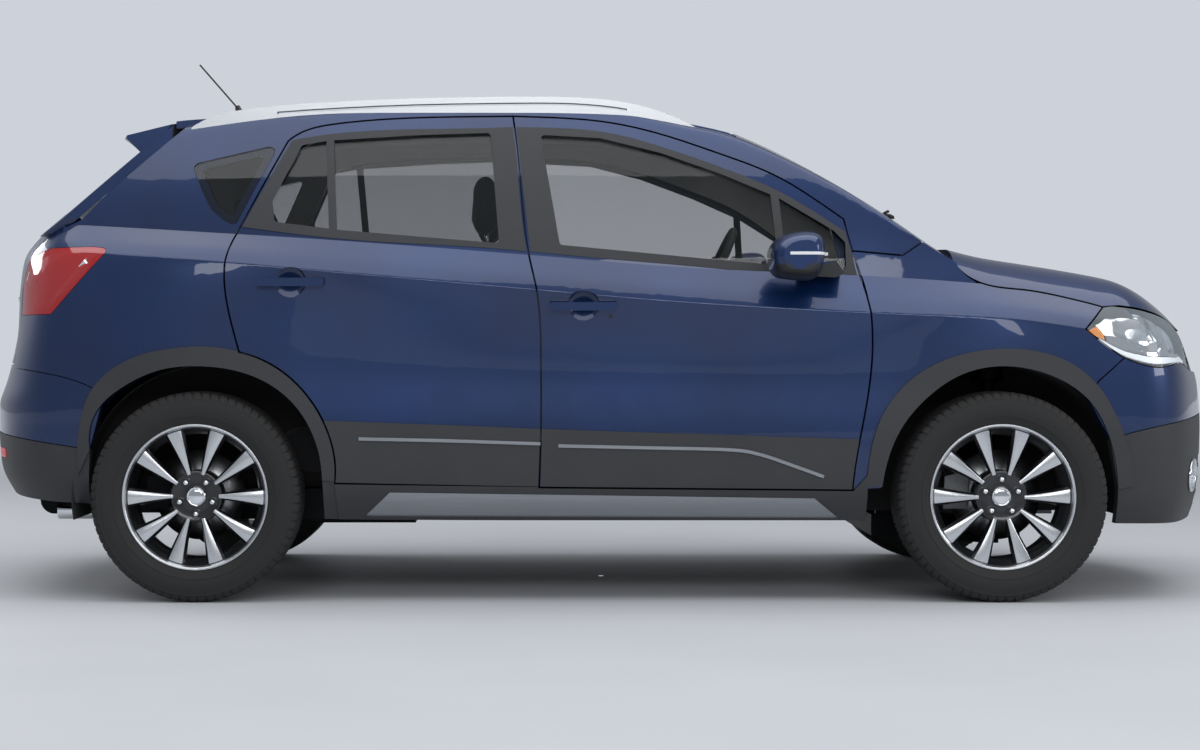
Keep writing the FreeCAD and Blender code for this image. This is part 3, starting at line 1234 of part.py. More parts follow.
tub_rear = rod(V(rear_arch_x, -wide, tyre_radius), V(rear_arch_x, -liner_inner_rear + liner_wall * 2, tyre_radius), liner_radius + liner_wall)
for tub in (tub_front, tub_rear):
    floor = floor.cut(tub).cut(mirrored(tub))
floor = max(floor.Solids, key=lambda s: s.Volume)

# Wheel arch liners
kingpin_low = V(front_axle_x, -672.0, 215.0)
kingpin_high = V(front_axle_x, -575.0, tower_low - seat_gap)
strut_hole = 66.0
strut_radius = 25.0


def liner(axle_x, inner):
    inner_edge = -inner
    outer = rod(V(axle_x, -half_width * 0.985, tyre_radius), V(axle_x, inner_edge, tyre_radius), liner_radius)
    hollow = rod(V(axle_x, -half_width, tyre_radius), V(axle_x, inner_edge - liner_wall, tyre_radius), liner_radius - liner_wall)
    shell = outer.cut(hollow)
    shell = shell.cut(box(axle_x - liner_radius * 2, axle_x + liner_radius * 2, -wide, 0.0, -liner_radius, floor_low))
    return shell


liner_front = liner(front_axle_x, liner_inner_front)
arm_window = tyre_radius * 0.36
beam_z = tyre_radius * 0.85
trail_y = 600.0
arm_room = 68.0
liner_front = liner_front.cut(box(front_axle_x - arm_window, front_axle_x + arm_window, -liner_inner_front - liner_wall * 2, 0.0, 0.0, rail_low_z + rail_box_height))
liner_front = liner_front.cut(rod(kingpin_low, kingpin_high + (kingpin_high - kingpin_low) * 0.2, strut_hole))
liner_front = liner_front.cut(ring_wall(-overrun, fender_thickness + seat_gap, side_end - 26, side_end + 9)).cut(side_keep.common(
    box(-wheelbase, place_x(side_front_share) + shut_gap, -wide, 0.0, 0.0, overall_height)))
liner_front = max(liner_front.Solids, key=lambda s: s.Volume)
liner_rear = liner(rear_arch_x, liner_inner_rear)
liner_rear = liner_rear.cut(ring_wall(-overrun, inner_depth + seat_gap, 1, side_end))
liner_rear = liner_rear.cut(box(rear_axle_x - arm_room, rear_arch_x + liner_radius + liner_wall, -trail_y - arm_room, 0.0, 0.0, beam_z + arm_room))
liner_rear = liner_rear.cut(rod(V(rear_axle_x, -liner_inner_rear - arm_room, tyre_radius), V(rear_axle_x, 0, tyre_radius), arm_room))
liner_rear = max(liner_rear.Solids, key=lambda s: s.Volume)

# Wheels: tyre, rim with disc


def spin(points):
    edges = []
    count = len(points)
    for k in range(count):
        a = points[k]
        b = points[(k + 1) % count]
        edges.append(Part.makeLine(V(a[0], a[1], 0), V(b[0], b[1], 0)))
    face = Part.Face(Part.Wire(edges))
    solid = face.revolve(V(0, 0, 0), V(0, 1, 0), 360)
    return solid


bead = rim_seat_radius
half_tyre = tyre_width / 2
tyre_profile_shares = [(1.0, 0.0), (1.0, 0.70), (0.975, 0.89), (0.86, 1.0), (0.76, 0.98)]


def tyre_shape():
    half_rim = rim_width / 2
    flange = bead + rim_wall * 1.6
    lip = half_rim - rim_wall - seat_gap
    points = [(tyre_radius * a, half_tyre * b) for a, b in tyre_profile_shares]
    points += [(flange + rim_wall, half_rim), (flange + seat_gap, lip), (bead + seat_gap, lip), (bead + seat_gap, lip - rim_wall * 1.5),
               (tyre_radius * 0.80, half_tyre * 0.90), (tyre_radius * 0.955, half_tyre * 0.80), (tyre_radius * 0.955, 0.0)]
    full = points + [(p[0], -p[1]) for p in reversed(points[1:-1])]
    return spin(full)


# The wheel face: ten flared blades in five pairs, cut to one dished shell
def spoke_blades(face_y):
    root_r = hub_radius * 0.75
    tip_r = bead - rim_wall * 0.6
    half_root = spoke_root_width / 2
    half_tip = spoke_tip_width / 2
    middle_r = (root_r + tip_r) / 2
    half_middle = half_root + (half_tip - half_root) * 0.42
    blades = []
    for pair in range(spoke_pairs):
        for side in (-1, 1):
            lean = tip_r * math.sin(math.radians(side * (spoke_tip_angle - spoke_root_angle)))
            edge_right = [(half_root, root_r), (lean / 2 + half_middle, middle_r), (lean + half_tip, tip_r)]
            edge_left = [(lean - half_tip, tip_r), (lean / 2 - half_middle, middle_r), (-half_root, root_r)]
            runs = [edge_right, [edge_right[-1], edge_left[0]], edge_left, [edge_left[-1], edge_right[0]]]
            blade = prism(runs, "side", face_y - spoke_thickness * 2, face_y)
            blade.rotate(V(0, 0, 0), V(0, 1, 0), 360.0 / spoke_pairs * pair + side * spoke_root_angle)
            blades.append(blade)
    return blades[0].multiFuse(blades[1:])


def face_dish(face_y):
    waist = hub_radius * 1.7
    front = [(0.0, face_y - wheel_face_dish), (waist, face_y - wheel_face_dish), (bead, face_y)]
    back = [(bead, face_y - spoke_tip_thickness), (waist, face_y - wheel_face_dish - spoke_thickness),
            (0.0, face_y - wheel_face_dish - spoke_thickness)]
    return spin(front + back)


def rim_shape():
    half_rim = rim_width / 2
    flange = bead + rim_wall * 1.6
    barrel = [(bead, half_rim - rim_wall), (flange, half_rim - rim_wall), (flange, half_rim), (bead - rim_wall, half_rim),
              (bead - rim_wall, half_rim * 0.62), (bead - rim_wall * 2.6, half_rim * 0.30), (bead - rim_wall * 2.6, -half_rim * 0.2),
              (bead - rim_wall, -half_rim * 0.5), (bead - rim_wall, -half_rim), (flange, -half_rim), (flange, -half_rim + rim_wall),
              (bead, -half_rim + rim_wall), (bead, -half_rim * 0.45), (bead - rim_wall * 1.6, -half_rim * 0.15),
              (bead - rim_wall * 1.6, half_rim * 0.25), (bead, half_rim * 0.55)]
    rim = spin(barrel)
    face_y = half_rim - wheel_face_setback
    blades = spoke_blades(face_y).common(face_dish(face_y))
    rim = rim.fuse(blades)
    hub = rod(V(0, face_y - spoke_thickness * 1.4, 0), V(0, face_y - wheel_face_dish, 0), hub_radius)
    rim = rim.fuse(hub)
    limit = rod(V(0, -tyre_width, 0), V(0, tyre_width, 0), flange)
    rim = rim.common(limit)
    bore = rod(V(0, -tyre_width, 0), V(0, face_y - spoke_thickness * 0.5, 0), hub_bore + seat_gap)
    return rim.cut(bore)


disc_offset = 42.0
hat_radius = 78.0


def disc_shape():
    half_rim = rim_width / 2
    inner_face = half_rim - wheel_face_setback - spoke_thickness * 1.4 - seat_gap
    disc = rod(V(0, -disc_offset - disc_thickness / 2, 0), V(0, -disc_offset + disc_thickness / 2, 0), disc_radius)
    disc = disc.fuse(rod(V(0, -disc_offset, 0), V(0, inner_face, 0), hat_radius))
    hollow = rod(V(0, -disc_offset - disc_thickness, 0), V(0, inner_face - rim_wall, 0), hat_radius - rim_wall)
    disc = disc.cut(hollow)
    return disc.cut(rod(V(0, -tyre_width, 0), V(0, tyre_width, 0), hub_bore + seat_gap))


tyre = tyre_shape()
rim = rim_shape()
disc = disc_shape()


def wheel_pieces(axle_x, side):
    out = []
    for shape in (tyre, Part.makeCompound([rim, disc])):
        copy = shape.copy()
        if side < 0:
            copy = mirrored(copy)
        copy.translate(V(axle_x, side * track_half, tyre_radius))
        out.append(copy)
    return out


# Hub carriers with brake caliper: front ones steer
carrier_in = 128.0
carrier_out = 76.0
carrier_radius = 52.0
caliper_slot = disc_thickness / 2 + 5.5


def carrier(axle_x):
    y = -track_half
    z = tyre_radius
    block = rod(V(axle_x, y + carrier_in, z), V(axle_x, y + carrier_out, z), carrier_radius)
    face_y = rim_width / 2 - wheel_face_setback - spoke_thickness * 0.5
    block = block.fuse(rod(V(axle_x, y + carrier_in, z), V(axle_x, y - face_y + seat_gap * 2, z), hub_bore))
    cal = [(axle_x - disc_radius * 0.62, z + disc_radius * 0.55), (axle_x - disc_radius * 1.16, z + disc_radius * 0.42),
           (axle_x - disc_radius * 1.20, z - disc_radius * 0.30), (axle_x - disc_radius * 0.68, z - disc_radius * 0.30)]
    caliper = prism(ring_runs(cal), "side", y + disc_offset - caliper_slot - rim_wall * 1.6, y + carrier_in)
    groove = rod(V(axle_x, y + disc_offset - caliper_slot, z), V(axle_x, y + disc_offset + caliper_slot, z), disc_radius + rim_wall * 0.6)
    caliper = caliper.cut(groove)
    bridge = box(axle_x - disc_radius * 1.1, axle_x, y + carrier_in - rim_wall * 2.5, y + carrier_in, z - disc_radius * 0.2, z + disc_radius * 0.25)
    return block.fuse(caliper).fuse(bridge)


pin_dir = (kingpin_high - kingpin_low).normalize()
pin_radius = 22.0
pin_high_z = 480.0
carrier_front = carrier(front_axle_x)
top_point = kingpin_low + pin_dir * ((pin_high_z - kingpin_low.z) / pin_dir.z)
carrier_front = carrier_front.fuse(rod(kingpin_low, top_point, pin_radius))
carrier_front = carrier_front.cut(rod(V(front_axle_x, -track_half - rim_width, tyre_radius),
                                      V(front_axle_x, -track_half + carrier_out - seat_gap, tyre_radius), hub_bore * 2.9).cut(
    rod(V(front_axle_x, -track_half - rim_width, tyre_radius), V(front_axle_x, -track_half + carrier_out, tyre_radius), hub_bore)).common(
    box(front_axle_x - hub_bore * 1.5, front_axle_x + hub_bore * 1.5, -wide, 0.0, 0.0, overall_height)))

# Front suspension on the body: struts, springs, lower arms, subframe
arm_pad = 24.0
arm_low = 176.0
strut_low = top_point + pin_dir * seat_gap
strut = rod(strut_low, kingpin_high, strut_radius)
spring_low = kingpin_low + pin_dir * ((tyre_radius * 2.09 - kingpin_low.z) / pin_dir.z)
spring_top = kingpin_high - pin_dir * arm_pad * 0.3
strut = strut.fuse(rod(spring_low, spring_top, strut_radius * 2.2))
strut = strut.cut(box(-wheelbase, wheelbase, -wide, wide, tower_low - seat_gap, overall_height))
pad_top = kingpin_low - pin_dir * seat_gap
pad = rod(pad_top - pin_dir * arm_pad, pad_top, pin_radius * 1.4)
arm_inner = 330.0
arm_points = [(kingpin_low.x - pin_radius, kingpin_low.y), (kingpin_low.x + pin_radius, kingpin_low.y),
              (kingpin_low.x + tyre_radius * 0.20, -arm_inner), (kingpin_low.x - tyre_radius * 0.85, -arm_inner)]
arm = prism(ring_runs(arm_points), "top", arm_low, arm_low + pin_radius)
arm = arm.fuse(pad)
subframe_half = 380.0
subframe = box(front_axle_x - tyre_radius * 1.05, front_axle_x + tyre_radius * 0.45, -subframe_half, subframe_half, arm_low, arm_low + arm_pad * 3)
subframe = subframe.fuse(arm).fuse(mirrored(arm))
link_half = 18.0
for sy in (-1, 1):
    subframe = subframe.fuse(box(front_axle_x - tyre_radius, front_axle_x - tyre_radius * 0.8, sy * rail_half * 0.84 - link_half,
                                 sy * rail_half * 0.84 + link_half, arm_low, rail_low_z + rail_box_height * 0.5))
subframe = subframe.cut(moved(floor, 0, 0, -seat_gap)).cut(floor)
subframe = max(subframe.Solids, key=lambda s: s.Volume)

# Rear twist beam with stub axles
beam_radius = 36.0
beam_ahead = 150.0
carrier_rear = carrier(rear_axle_x)
trail_front_share = -0.345
beam = rod(V(rear_axle_x + beam_ahead, -trail_y, beam_z), V(rear_axle_x + beam_ahead, trail_y, beam_z), beam_radius)
for sy in (-1, 1):
    beam = beam.fuse(box(rear_axle_x - beam_radius, place_x(trail_front_share), sy * trail_y - beam_radius, sy * trail_y + beam_radius,
                         beam_z - beam_radius, beam_z + beam_radius))
    beam = beam.fuse(rod(V(rear_axle_x, sy * (trail_y - beam_radius), tyre_radius), V(rear_axle_x, sy * (track_half - carrier_in + seat_gap), tyre_radius),
                         carrier_radius * 0.9))
    bush = box(place_x(trail_front_share) - beam_radius * 2, place_x(trail_front_share), sy * trail_y - beam_radius, sy * trail_y + beam_radius,
               beam_z - beam_radius, rear_floor_low - seat_gap)
    beam = beam.fuse(bush)
beam = beam.fuse(carrier_rear).fuse(mirrored(carrier_rear))

# Fuel tank and silencer under the rear floor
tank_front = place_x(-0.235)
tank_back = place_x(-0.395)
tank_half = 440.0
tank_low = 225.0
tank = box(tank_back, tank_front, -tank_half, tank_half, tank_low, rear_floor_low - seat_gap)
silencer_radius = 48.0
silencer_length = 330.0
silencer_x = place_x(-0.705)
silencer = rod(V(silencer_x, -silencer_length * 1.4, rear_floor_low - silencer_radius - seat_gap),
               V(silencer_x, -silencer_length * 0.4, rear_floor_low - silencer_radius - seat_gap), silencer_radius)

# Engine as one block on the subframe
engine_half = 340.0
engine_length = 440.0
engine = box(front_axle_x - tyre_radius * 0.5, front_axle_x - tyre_radius * 0.5 + engine_length, -engine_half, engine_half,
             arm_low + arm_pad * 3 + seat_gap, overall_height * 0.52)

# Seats
seat_half = 250.0
seat_centre = 365.0
front_cushion_shares = [(-0.0692, 0.1813), (-0.0827, 0.2840), (-0.0462, 0.3263), (0.0462, 0.3263),
    (0.1269, 0.3535), (0.1481, 0.3384), (0.1462, 0.2840), (0.1154, 0.1813)]
front_back_shares = [(-0.0462, 0.3311), (-0.0827, 0.2888), (-0.0962, 0.3384), (-0.1481, 0.6344),
    (-0.1558, 0.6949), (-0.1269, 0.7039), (-0.1038, 0.6526), (-0.0423, 0.3867)]
head_rest_shares = [(-0.1608, 0.7341), (-0.1577, 0.8429), (-0.1327, 0.8459), (-0.1269, 0.7341)]
rear_cushion_shares = [(-0.4154, 0.2326), (-0.4192, 0.3142), (-0.4000, 0.3293), (-0.2462, 0.3565),
    (-0.2269, 0.3384), (-0.2308, 0.2326)]
rear_back_shares = [(-0.4223, 0.2326), (-0.4231, 0.3142), (-0.4538, 0.5438), (-0.4750, 0.6949),
    (-0.4538, 0.7039), (-0.4308, 0.6526), (-0.3846, 0.3746), (-0.3885, 0.3360),
    (-0.4019, 0.3323)]
front_cushion = prism(rounded(places(front_cushion_shares), 40.0), "side", -seat_centre - seat_half, -seat_centre + seat_half)
front_back = prism(rounded(places(front_back_shares), 30.0), "side", -seat_centre - seat_half, -seat_centre + seat_half)
rest = prism(rounded(places(head_rest_shares), 25.0), "side", -seat_centre - seat_half * 0.5, -seat_centre + seat_half * 0.5)
stalk_radius = 7.0
for sy in (-1, 1):
    yy = -seat_centre + sy * seat_half * 0.25
    rest = rest.fuse(rod(V(place_x(-0.1450), yy, overall_height * 0.690), V(place_x(-0.1442), yy, overall_height * 0.76), stalk_radius))
front_back = front_back.fuse(rest)
front_seat = front_cushion.fuse(front_back)
front_seat = front_seat.cut(moved(floor, 0, 0, seat_gap))
front_seat = max(front_seat.Solids, key=lambda s: s.Volume)
rear_half = 620.0
rear_seat = prism(rounded(places(rear_cushion_shares), 30.0), "side", -rear_half, rear_half)
rear_seat = rear_seat.fuse(prism(rounded(places(rear_back_shares), 30.0), "side", -liner_inner_rear + seat_gap * 10, liner_inner_rear - seat_gap * 10))
rear_seat = rear_seat.cut(side_keep_all).cut(moved(floor, 0, 0, seat_gap)).cut(tub_rear).cut(mirrored(tub_rear))
rear_seat = max(rear_seat.Solids, key=lambda s: s.Volume)

# Dashboard and steering wheel, driver on the left
dash_shares = [(0.3788, 0.6284), (0.3462, 0.6556), (0.2692, 0.6647), (0.2154, 0.6224), (0.2058, 0.5619),
    (0.2308, 0.4834), (0.3788, 0.4592)]
dash = prism(rounded(places(dash_shares), 40.0), "side", -wide, wide)
dash = dash.cut(side_keep_all).cut(cabin_wall(-overrun * 3, frame_depth + seat_gap)).cut(mirrored(cabin_wall(-overrun * 3, frame_depth + seat_gap)))
dash = dash.common(box(-wheelbase, x_bulk - seat_gap, -wide, wide, 0.0, overall_height))
dash = dash.cut(front_screen_wall(overrun * 3, -screen_depth - overrun))
dash = max(dash.Solids, key=lambda s: s.Volume)
driver_y = 365.0
column_radius = 34.0
steer_ring = 182.0
steer_tube = 15.0
steer_hub = V(place_x(0.177), driver_y, overall_height * 0.655)
steer_dir = V(-math.cos(math.radians(24.0)), 0, math.sin(math.radians(24.0)))
column_length = 260.0
column = rod(steer_hub - steer_dir * column_length, steer_hub - steer_dir * (steer_tube + seat_gap), column_radius)
dash = dash.fuse(column.common(box(-wheelbase, x_bulk - seat_gap, 0.0, wide, 0.0, overall_height)))
up_dir = V(math.sin(math.radians(24.0)), 0, math.cos(math.radians(24.0)))
side_dir = V(0, 1, 0)
spoke_tube = 11.0
steering_wheel = Part.makeTorus(steer_ring, steer_tube, steer_hub, steer_dir)
for direction in (side_dir, side_dir * -1, up_dir * -1):
    steering_wheel = steering_wheel.fuse(rod(steer_hub, steer_hub + direction * steer_ring, spoke_tube))
steering_wheel = steering_wheel.fuse(rod(steer_hub - steer_dir * steer_tube, steer_hub + steer_dir * steer_tube * 2, column_radius * 2))

# Cowl between screen and bonnet, with the wipers on it
cowl_low_share = 0.632
cowl_front_share = 0.484
cowl_half_share = 0.77
cowl = box(x_bulk + bulkhead_plate + seat_gap, place_x(cowl_front_share), -half_width * cowl_half_share, half_width * cowl_half_share,
           overall_height * cowl_low_share, overall_height * 0.72)
cowl = cowl.cut(front_screen_wall(wheelbase * 0.2, -screen_depth - seat_gap))
cowl = cowl.cut(wall(bonnet_net(-long_overrun * 0.5), bonnet_net(bonnet_thickness + shut_gap)))
cowl = cowl.cut(cabin_wall(-overrun, frame_depth + seat_gap)).cut(mirrored(cabin_wall(-overrun, frame_depth + seat_gap)))
cowl = max(cowl.Solids, key=lambda s: s.Volume)

floor_back = box(-wheelbase, x_bulk, -wide, wide, 0.0, overall_height)
save("floor_pan", floor.common(floor_back))
save("front_frame", floor.cut(floor_back))
save("body_side_right", body_side)
save("body_side_left", mirrored(body_side))
save("roof_panel", roof)
save("front_wings", both(wing))
save("front_bumper", front_bumper)
save("front_bumper_lower", front_bumper_lower)
save("rear_bumper", rear_bumper)
save("rear_bumper_lower", rear_bumper_lower)
save("grille", grille)
save("head_lamps", both(head_lamp))
save("tail_lamps", both(tail_lamp))
save("windscreen", screen_glass)
save("quarter_glass", both(quarter_glass))
save("side_trims", both(side_trim))
save("roof_rails", both(rail))
save("antenna", antenna)
save("dashboard", dash)
save("steering_wheel", steering_wheel)
save("front_seats", both(front_seat))
save("rear_seat", rear_seat)
save("engine_block", engine)
save("underbody", Part.makeCompound([tank, silencer]))
save("front_suspension", Part.makeCompound([subframe, strut, mirrored(strut)]))
save("rear_axle", beam)
save("front_wheel_liners", both(liner_front))
save("rear_wheel_liners", both(liner_rear))
save("cowl", cowl)
save("bonnet", bonnet)
save("tailgate", lid)
save("tailgate_glass", lid_glass)
for side_name, flip_side in (("right", False), ("left", True)):
    for node, shape in (("front_door_" + side_name, front_door), ("rear_door_" + side_name, rear_door),
                        ("front_door_glass_" + side_name, front_glass), ("rear_door_glass_" + side_name, rear_glass),
                        ("front_door_trim_" + side_name, Part.makeCompound([front_frame, front_plate])),
                        ("rear_door_trim_" + side_name, Part.makeCompound([rear_frame, rear_plate])),
                        ("door_mirror_" + side_name, mirror), ("front_knuckle_" + side_name, carrier_front)):
        save(node, mirrored(shape) if flip_side else shape)
    for axle_name, axle_x in (("front", front_axle_x), ("rear", rear_axle_x)):
        pieces = wheel_pieces(axle_x, 1 if flip_side else -1)
        save("tyre_" + axle_name + "_" + side_name, pieces[0])
        save("rim_" + axle_name + "_" + side_name, pieces[1])
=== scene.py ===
# %% [markdown]
# # A dark blue family crossover
# The CAD model gives the car's body, doors, lids, cabin and chassis as solids that open and turn.
# This lesson dresses it: paint with flake under clear coat, grained cladding, glass, lamps with their
# insides, cut wheels, tyres with tread, and a cabin seen through the windows. It starts with the fixed
# model and the box it fills, which the finished car has to stay inside.

# %% Load the fixed model
import bmesh
import bpy
import math
import numpy as np
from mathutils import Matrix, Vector
from mathutils.bvhtree import BVHTree


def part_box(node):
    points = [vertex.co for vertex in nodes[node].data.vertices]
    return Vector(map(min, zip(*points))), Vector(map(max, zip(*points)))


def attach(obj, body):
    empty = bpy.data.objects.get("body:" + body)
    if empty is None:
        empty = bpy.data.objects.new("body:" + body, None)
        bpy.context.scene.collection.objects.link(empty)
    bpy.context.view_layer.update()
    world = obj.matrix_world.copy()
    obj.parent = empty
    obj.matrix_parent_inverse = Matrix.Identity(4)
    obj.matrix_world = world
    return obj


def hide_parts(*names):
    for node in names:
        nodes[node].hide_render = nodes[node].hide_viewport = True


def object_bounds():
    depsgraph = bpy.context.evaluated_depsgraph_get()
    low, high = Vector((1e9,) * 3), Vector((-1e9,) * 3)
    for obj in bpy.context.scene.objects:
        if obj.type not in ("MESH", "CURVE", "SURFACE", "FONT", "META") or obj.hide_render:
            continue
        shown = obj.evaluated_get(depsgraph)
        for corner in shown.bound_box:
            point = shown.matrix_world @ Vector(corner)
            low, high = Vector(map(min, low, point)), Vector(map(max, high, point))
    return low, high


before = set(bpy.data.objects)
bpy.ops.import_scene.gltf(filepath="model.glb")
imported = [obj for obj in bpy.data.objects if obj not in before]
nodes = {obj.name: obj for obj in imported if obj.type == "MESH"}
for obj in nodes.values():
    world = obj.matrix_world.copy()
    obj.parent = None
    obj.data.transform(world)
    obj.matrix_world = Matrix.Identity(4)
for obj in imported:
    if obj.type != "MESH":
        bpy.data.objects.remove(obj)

cad_box = [list(map(float, corner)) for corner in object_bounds()]
print("CAD box in metres", [[round(v, 4) for v in c] for c in cad_box], "with", len(nodes), "nodes")

# %% [markdown]
# ## The camera
# The photograph is taken square to the right side from about eight metres, a little behind the middle
# and at the height of the door handles. Its optical axis meets the picture left of and above its centre,
# so the camera looks straight along +Y and a small lens shift frames the car, which keeps all upright
# lines upright as they are there.

# %% Camera at the photograph's place
photo_width, photo_height = 1200, 750
axis_px = (535.0, 340.0)
focal_px = 2343.4
sensor_mm = 36.0
camera_data = bpy.data.cameras.new("photo_camera")
camera_data.sensor_width = sensor_mm
camera_data.lens = sensor_mm * focal_px / photo_width
camera_data.shift_x = (photo_width / 2 - axis_px[0]) / photo_width
camera_data.shift_y = (axis_px[1] - photo_height / 2) / photo_width
camera_data.clip_end = 100.0
camera = bpy.data.objects.new("photo_camera", camera_data)
camera.location = (-0.236, -8.4, 0.845)
camera.rotation_euler = (math.radians(90), 0.0, 0.0)
bpy.context.scene.collection.objects.link(camera)
bpy.context.scene.camera = camera
print("lens", round(camera_data.lens, 2), "mm, shift", round(camera_data.shift_x, 4),
      round(camera_data.shift_y, 4))

# %% [markdown]
# ## Small helpers for meshes
# Every new surface is a grid of points worked out as one array. `grid_quads` gives such a grid its faces and
# closes it where it wraps. `piece` makes one object of some grids, lets it ride on a body of the model, and
# can keep its creases sharp. `revolve` turns a profile round an axle, `sweep` carries a section along a path,
# and `sheet` closes two like grids into a thin solid.

# %% Mesh helpers
def grid_quads(rows, columns, wrap_rows=False, wrap_columns=False):
    """Quads between neighbours of a rows by columns grid; wrapping joins the last line to the first."""
    r = np.arange(rows if wrap_rows else rows - 1)
    c = np.arange(columns if wrap_columns else columns - 1)
    r, c = np.meshgrid(r, c, indexing="ij")
    r2, c2 = (r + 1) % rows, (c + 1) % columns
    corners = [r * columns + c, r * columns + c2, r2 * columns + c2, r2 * columns + c]
    return np.stack(corners, -1).reshape(-1, 4)


def crease_edges(obj, degrees):
    """Sharp edges where neighbouring faces turn by more than the angle, with smooth shading elsewhere."""
    work = bmesh.new()
    work.from_mesh(obj.data)
    bmesh.ops.remove_doubles(work, verts=work.verts, dist=1e-6)
    bmesh.ops.recalc_face_normals(work, faces=work.faces)
    for edge in work.edges:
        if len(edge.link_faces) == 2 and edge.calc_face_angle(0.0) > math.radians(degrees):
            edge.smooth = False
    work.to_mesh(obj.data)
    work.free()


def piece(name, parts, material, body, crease=None, replaces=()):
    """One object from a list of (points, faces) on a body of the CAD model; crease is an angle in degrees."""
    points, faces, shift = [], [], 0
    for grid, quads in parts:
        points.append(np.asarray(grid, float).reshape(-1, 3))
        faces.extend((np.asarray(f) + shift).tolist() for f in quads)
        shift += len(points[-1])
    mesh = bpy.data.meshes.new(name)
    mesh.from_pydata(np.concatenate(points).tolist(), [], faces)
    mesh.validate()
    mesh.update()
    mesh.polygons.foreach_set("use_smooth", [True] * len(mesh.polygons))
    obj = bpy.data.objects.new(name, mesh)
    bpy.context.scene.collection.objects.link(obj)
    if material is not None:
        mesh.materials.append(material)
    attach(obj, body)
    if replaces:
        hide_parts(*replaces)
    if crease is not None:
        crease_edges(obj, crease)
    return obj


def revolve(profile, steps):
    """Turns a closed profile of (radius, along) pairs round the Y axis; both directions wrap."""
    radius, along = np.asarray(profile, float).T[:, None]
    turn = np.linspace(0, 2 * np.pi, steps, endpoint=False)[:, None]
    grid = np.stack([radius * np.cos(turn), along + 0 * turn, radius * np.sin(turn)], -1)
    return grid.reshape(-1, 3), grid_quads(steps, len(profile), True, True)


def sweep(path, section, closed=False, up=(0, 0, 1)):
    """Carries a closed (across, along-up) section along a path of points, square to the path everywhere."""
    path = np.asarray(path, float)
    section = np.asarray(section, float)
    ahead = np.roll(path, -1, 0) - np.roll(path, 1, 0) if closed else np.gradient(path, axis=0)
    ahead /= np.linalg.norm(ahead, axis=1, keepdims=True)
    up = np.broadcast_to(np.asarray(up, float), path.shape)
    side = np.cross(ahead, up)
    side /= np.linalg.norm(side, axis=1, keepdims=True)
    top = np.cross(side, ahead)
    across, high = section[None, :, 0:1], section[None, :, 1:2]
    grid = path[:, None] + side[:, None] * across + top[:, None] * high
    faces = grid_quads(len(path), len(section), closed, True).tolist()
    if not closed:
        n = len(section)
        faces.append(list(range(n))[::-1])
        faces.append([(len(path) - 1) * n + k for k in range(n)])
    return grid.reshape(-1, 3), faces


def ring(radius_a, radius_b=None, steps=12):
    """A round or oval section as (across, up) pairs."""
    t = np.linspace(0, 2 * np.pi, steps, endpoint=False)
    return np.stack([radius_a * np.cos(t), (radius_b or radius_a) * np.sin(t)], -1)


def sheet(front, back, turned=False):
    """Closes two like grids into one thin solid, with a wall round the rim; turned flips its faces."""
    rows, columns = front.shape[:2]
    size = rows * columns
    face = grid_quads(rows, columns)
    rim = np.concatenate([np.arange(columns), np.arange(1, rows) * columns + columns - 1,
                          (rows - 1) * columns + np.arange(columns - 2, -1, -1),
                          np.arange(rows - 2, 0, -1) * columns])
    following = np.roll(rim, -1)
    wall = np.stack([rim, rim + size, following + size, following], -1)
    faces = np.concatenate([face, face[:, ::-1] + size, wall])
    return np.concatenate([front.reshape(-1, 3), back.reshape(-1, 3)]), faces[:, ::-1] if turned else faces


def smooth_path(points, steps, closed=False):
    """A Catmull-Rom curve through the points, with the given steps between each two."""
    p = np.asarray(points, float)
    if closed:
        p0, p1, p2, p3 = (np.roll(p, k, 0) for k in (1, 0, -1, -2))
    else:
        q = np.concatenate([p[:1] * 2 - p[1:2], p, p[-1:] * 2 - p[-2:-1]])
        p0, p1, p2, p3 = q[:-3], q[1:-2], q[2:-1], q[3:]
    t = np.linspace(0, 1, steps, endpoint=False)[None, :, None]
    p0, p1, p2, p3 = (a[:, None] for a in (p0, p1, p2, p3))
    curve = 0.5 * (2 * p1 + (p2 - p0) * t + (2 * p0 - 5 * p1 + 4 * p2 - p3) * t ** 2
                   + (3 * p1 - p0 - 3 * p2 + p3) * t ** 3)
    curve = curve.reshape(-1, p.shape[1])
    return curve if closed else np.concatenate([curve, p[-1:]])

# %% [markdown]
# ## Materials
# Each finish is named for what it really is and how its surface was made. Patterns are scaled from real
# sizes in millimetres: one unit of Object coordinates is a metre, so a noise of scale 500 has grains of
# two millimetres. Flake and mould grain are finer than that on a real car, and are drawn coarse enough
# to show in a render of the whole car. `node` adds one shader node with its settings and links and gives
# back one of its outputs, and `pattern` lets one such output run the colour, the gloss and the height.

# %% Colour and node helpers
def linear(code, alpha=1.0):
    """An sRGB hex colour as the linear values that the shaders take."""
    c = np.array([int(code[k:k + 2], 16) / 255 for k in (1, 3, 5)])
    c = np.where(c <= 0.04045, c / 12.92, ((c + 0.055) / 1.055) ** 2.4)
    return (*[float(v) for v in c], alpha)


def plug(tree, made, inputs):
    """Gives sockets of a node a value each, or a link from another node's output."""
    for key, value in inputs.items():
        if isinstance(value, bpy.types.NodeSocket):
            tree.links.new(value, made.inputs[key])
        else:
            made.inputs[key].default_value = value


def node(tree, kind, inputs, output=0, tones=(), **settings):
    """Adds one shader node and gives back one of its outputs; tones are hex colours for a ramp's stops."""
    made = tree.nodes.new("ShaderNode" + kind)
    for key, value in settings.items():
        setattr(made, key, value)
    for stop, code in enumerate(tones):
        made.color_ramp.elements[stop].color = linear(code)
    plug(tree, made, inputs)
    return made.outputs[output]


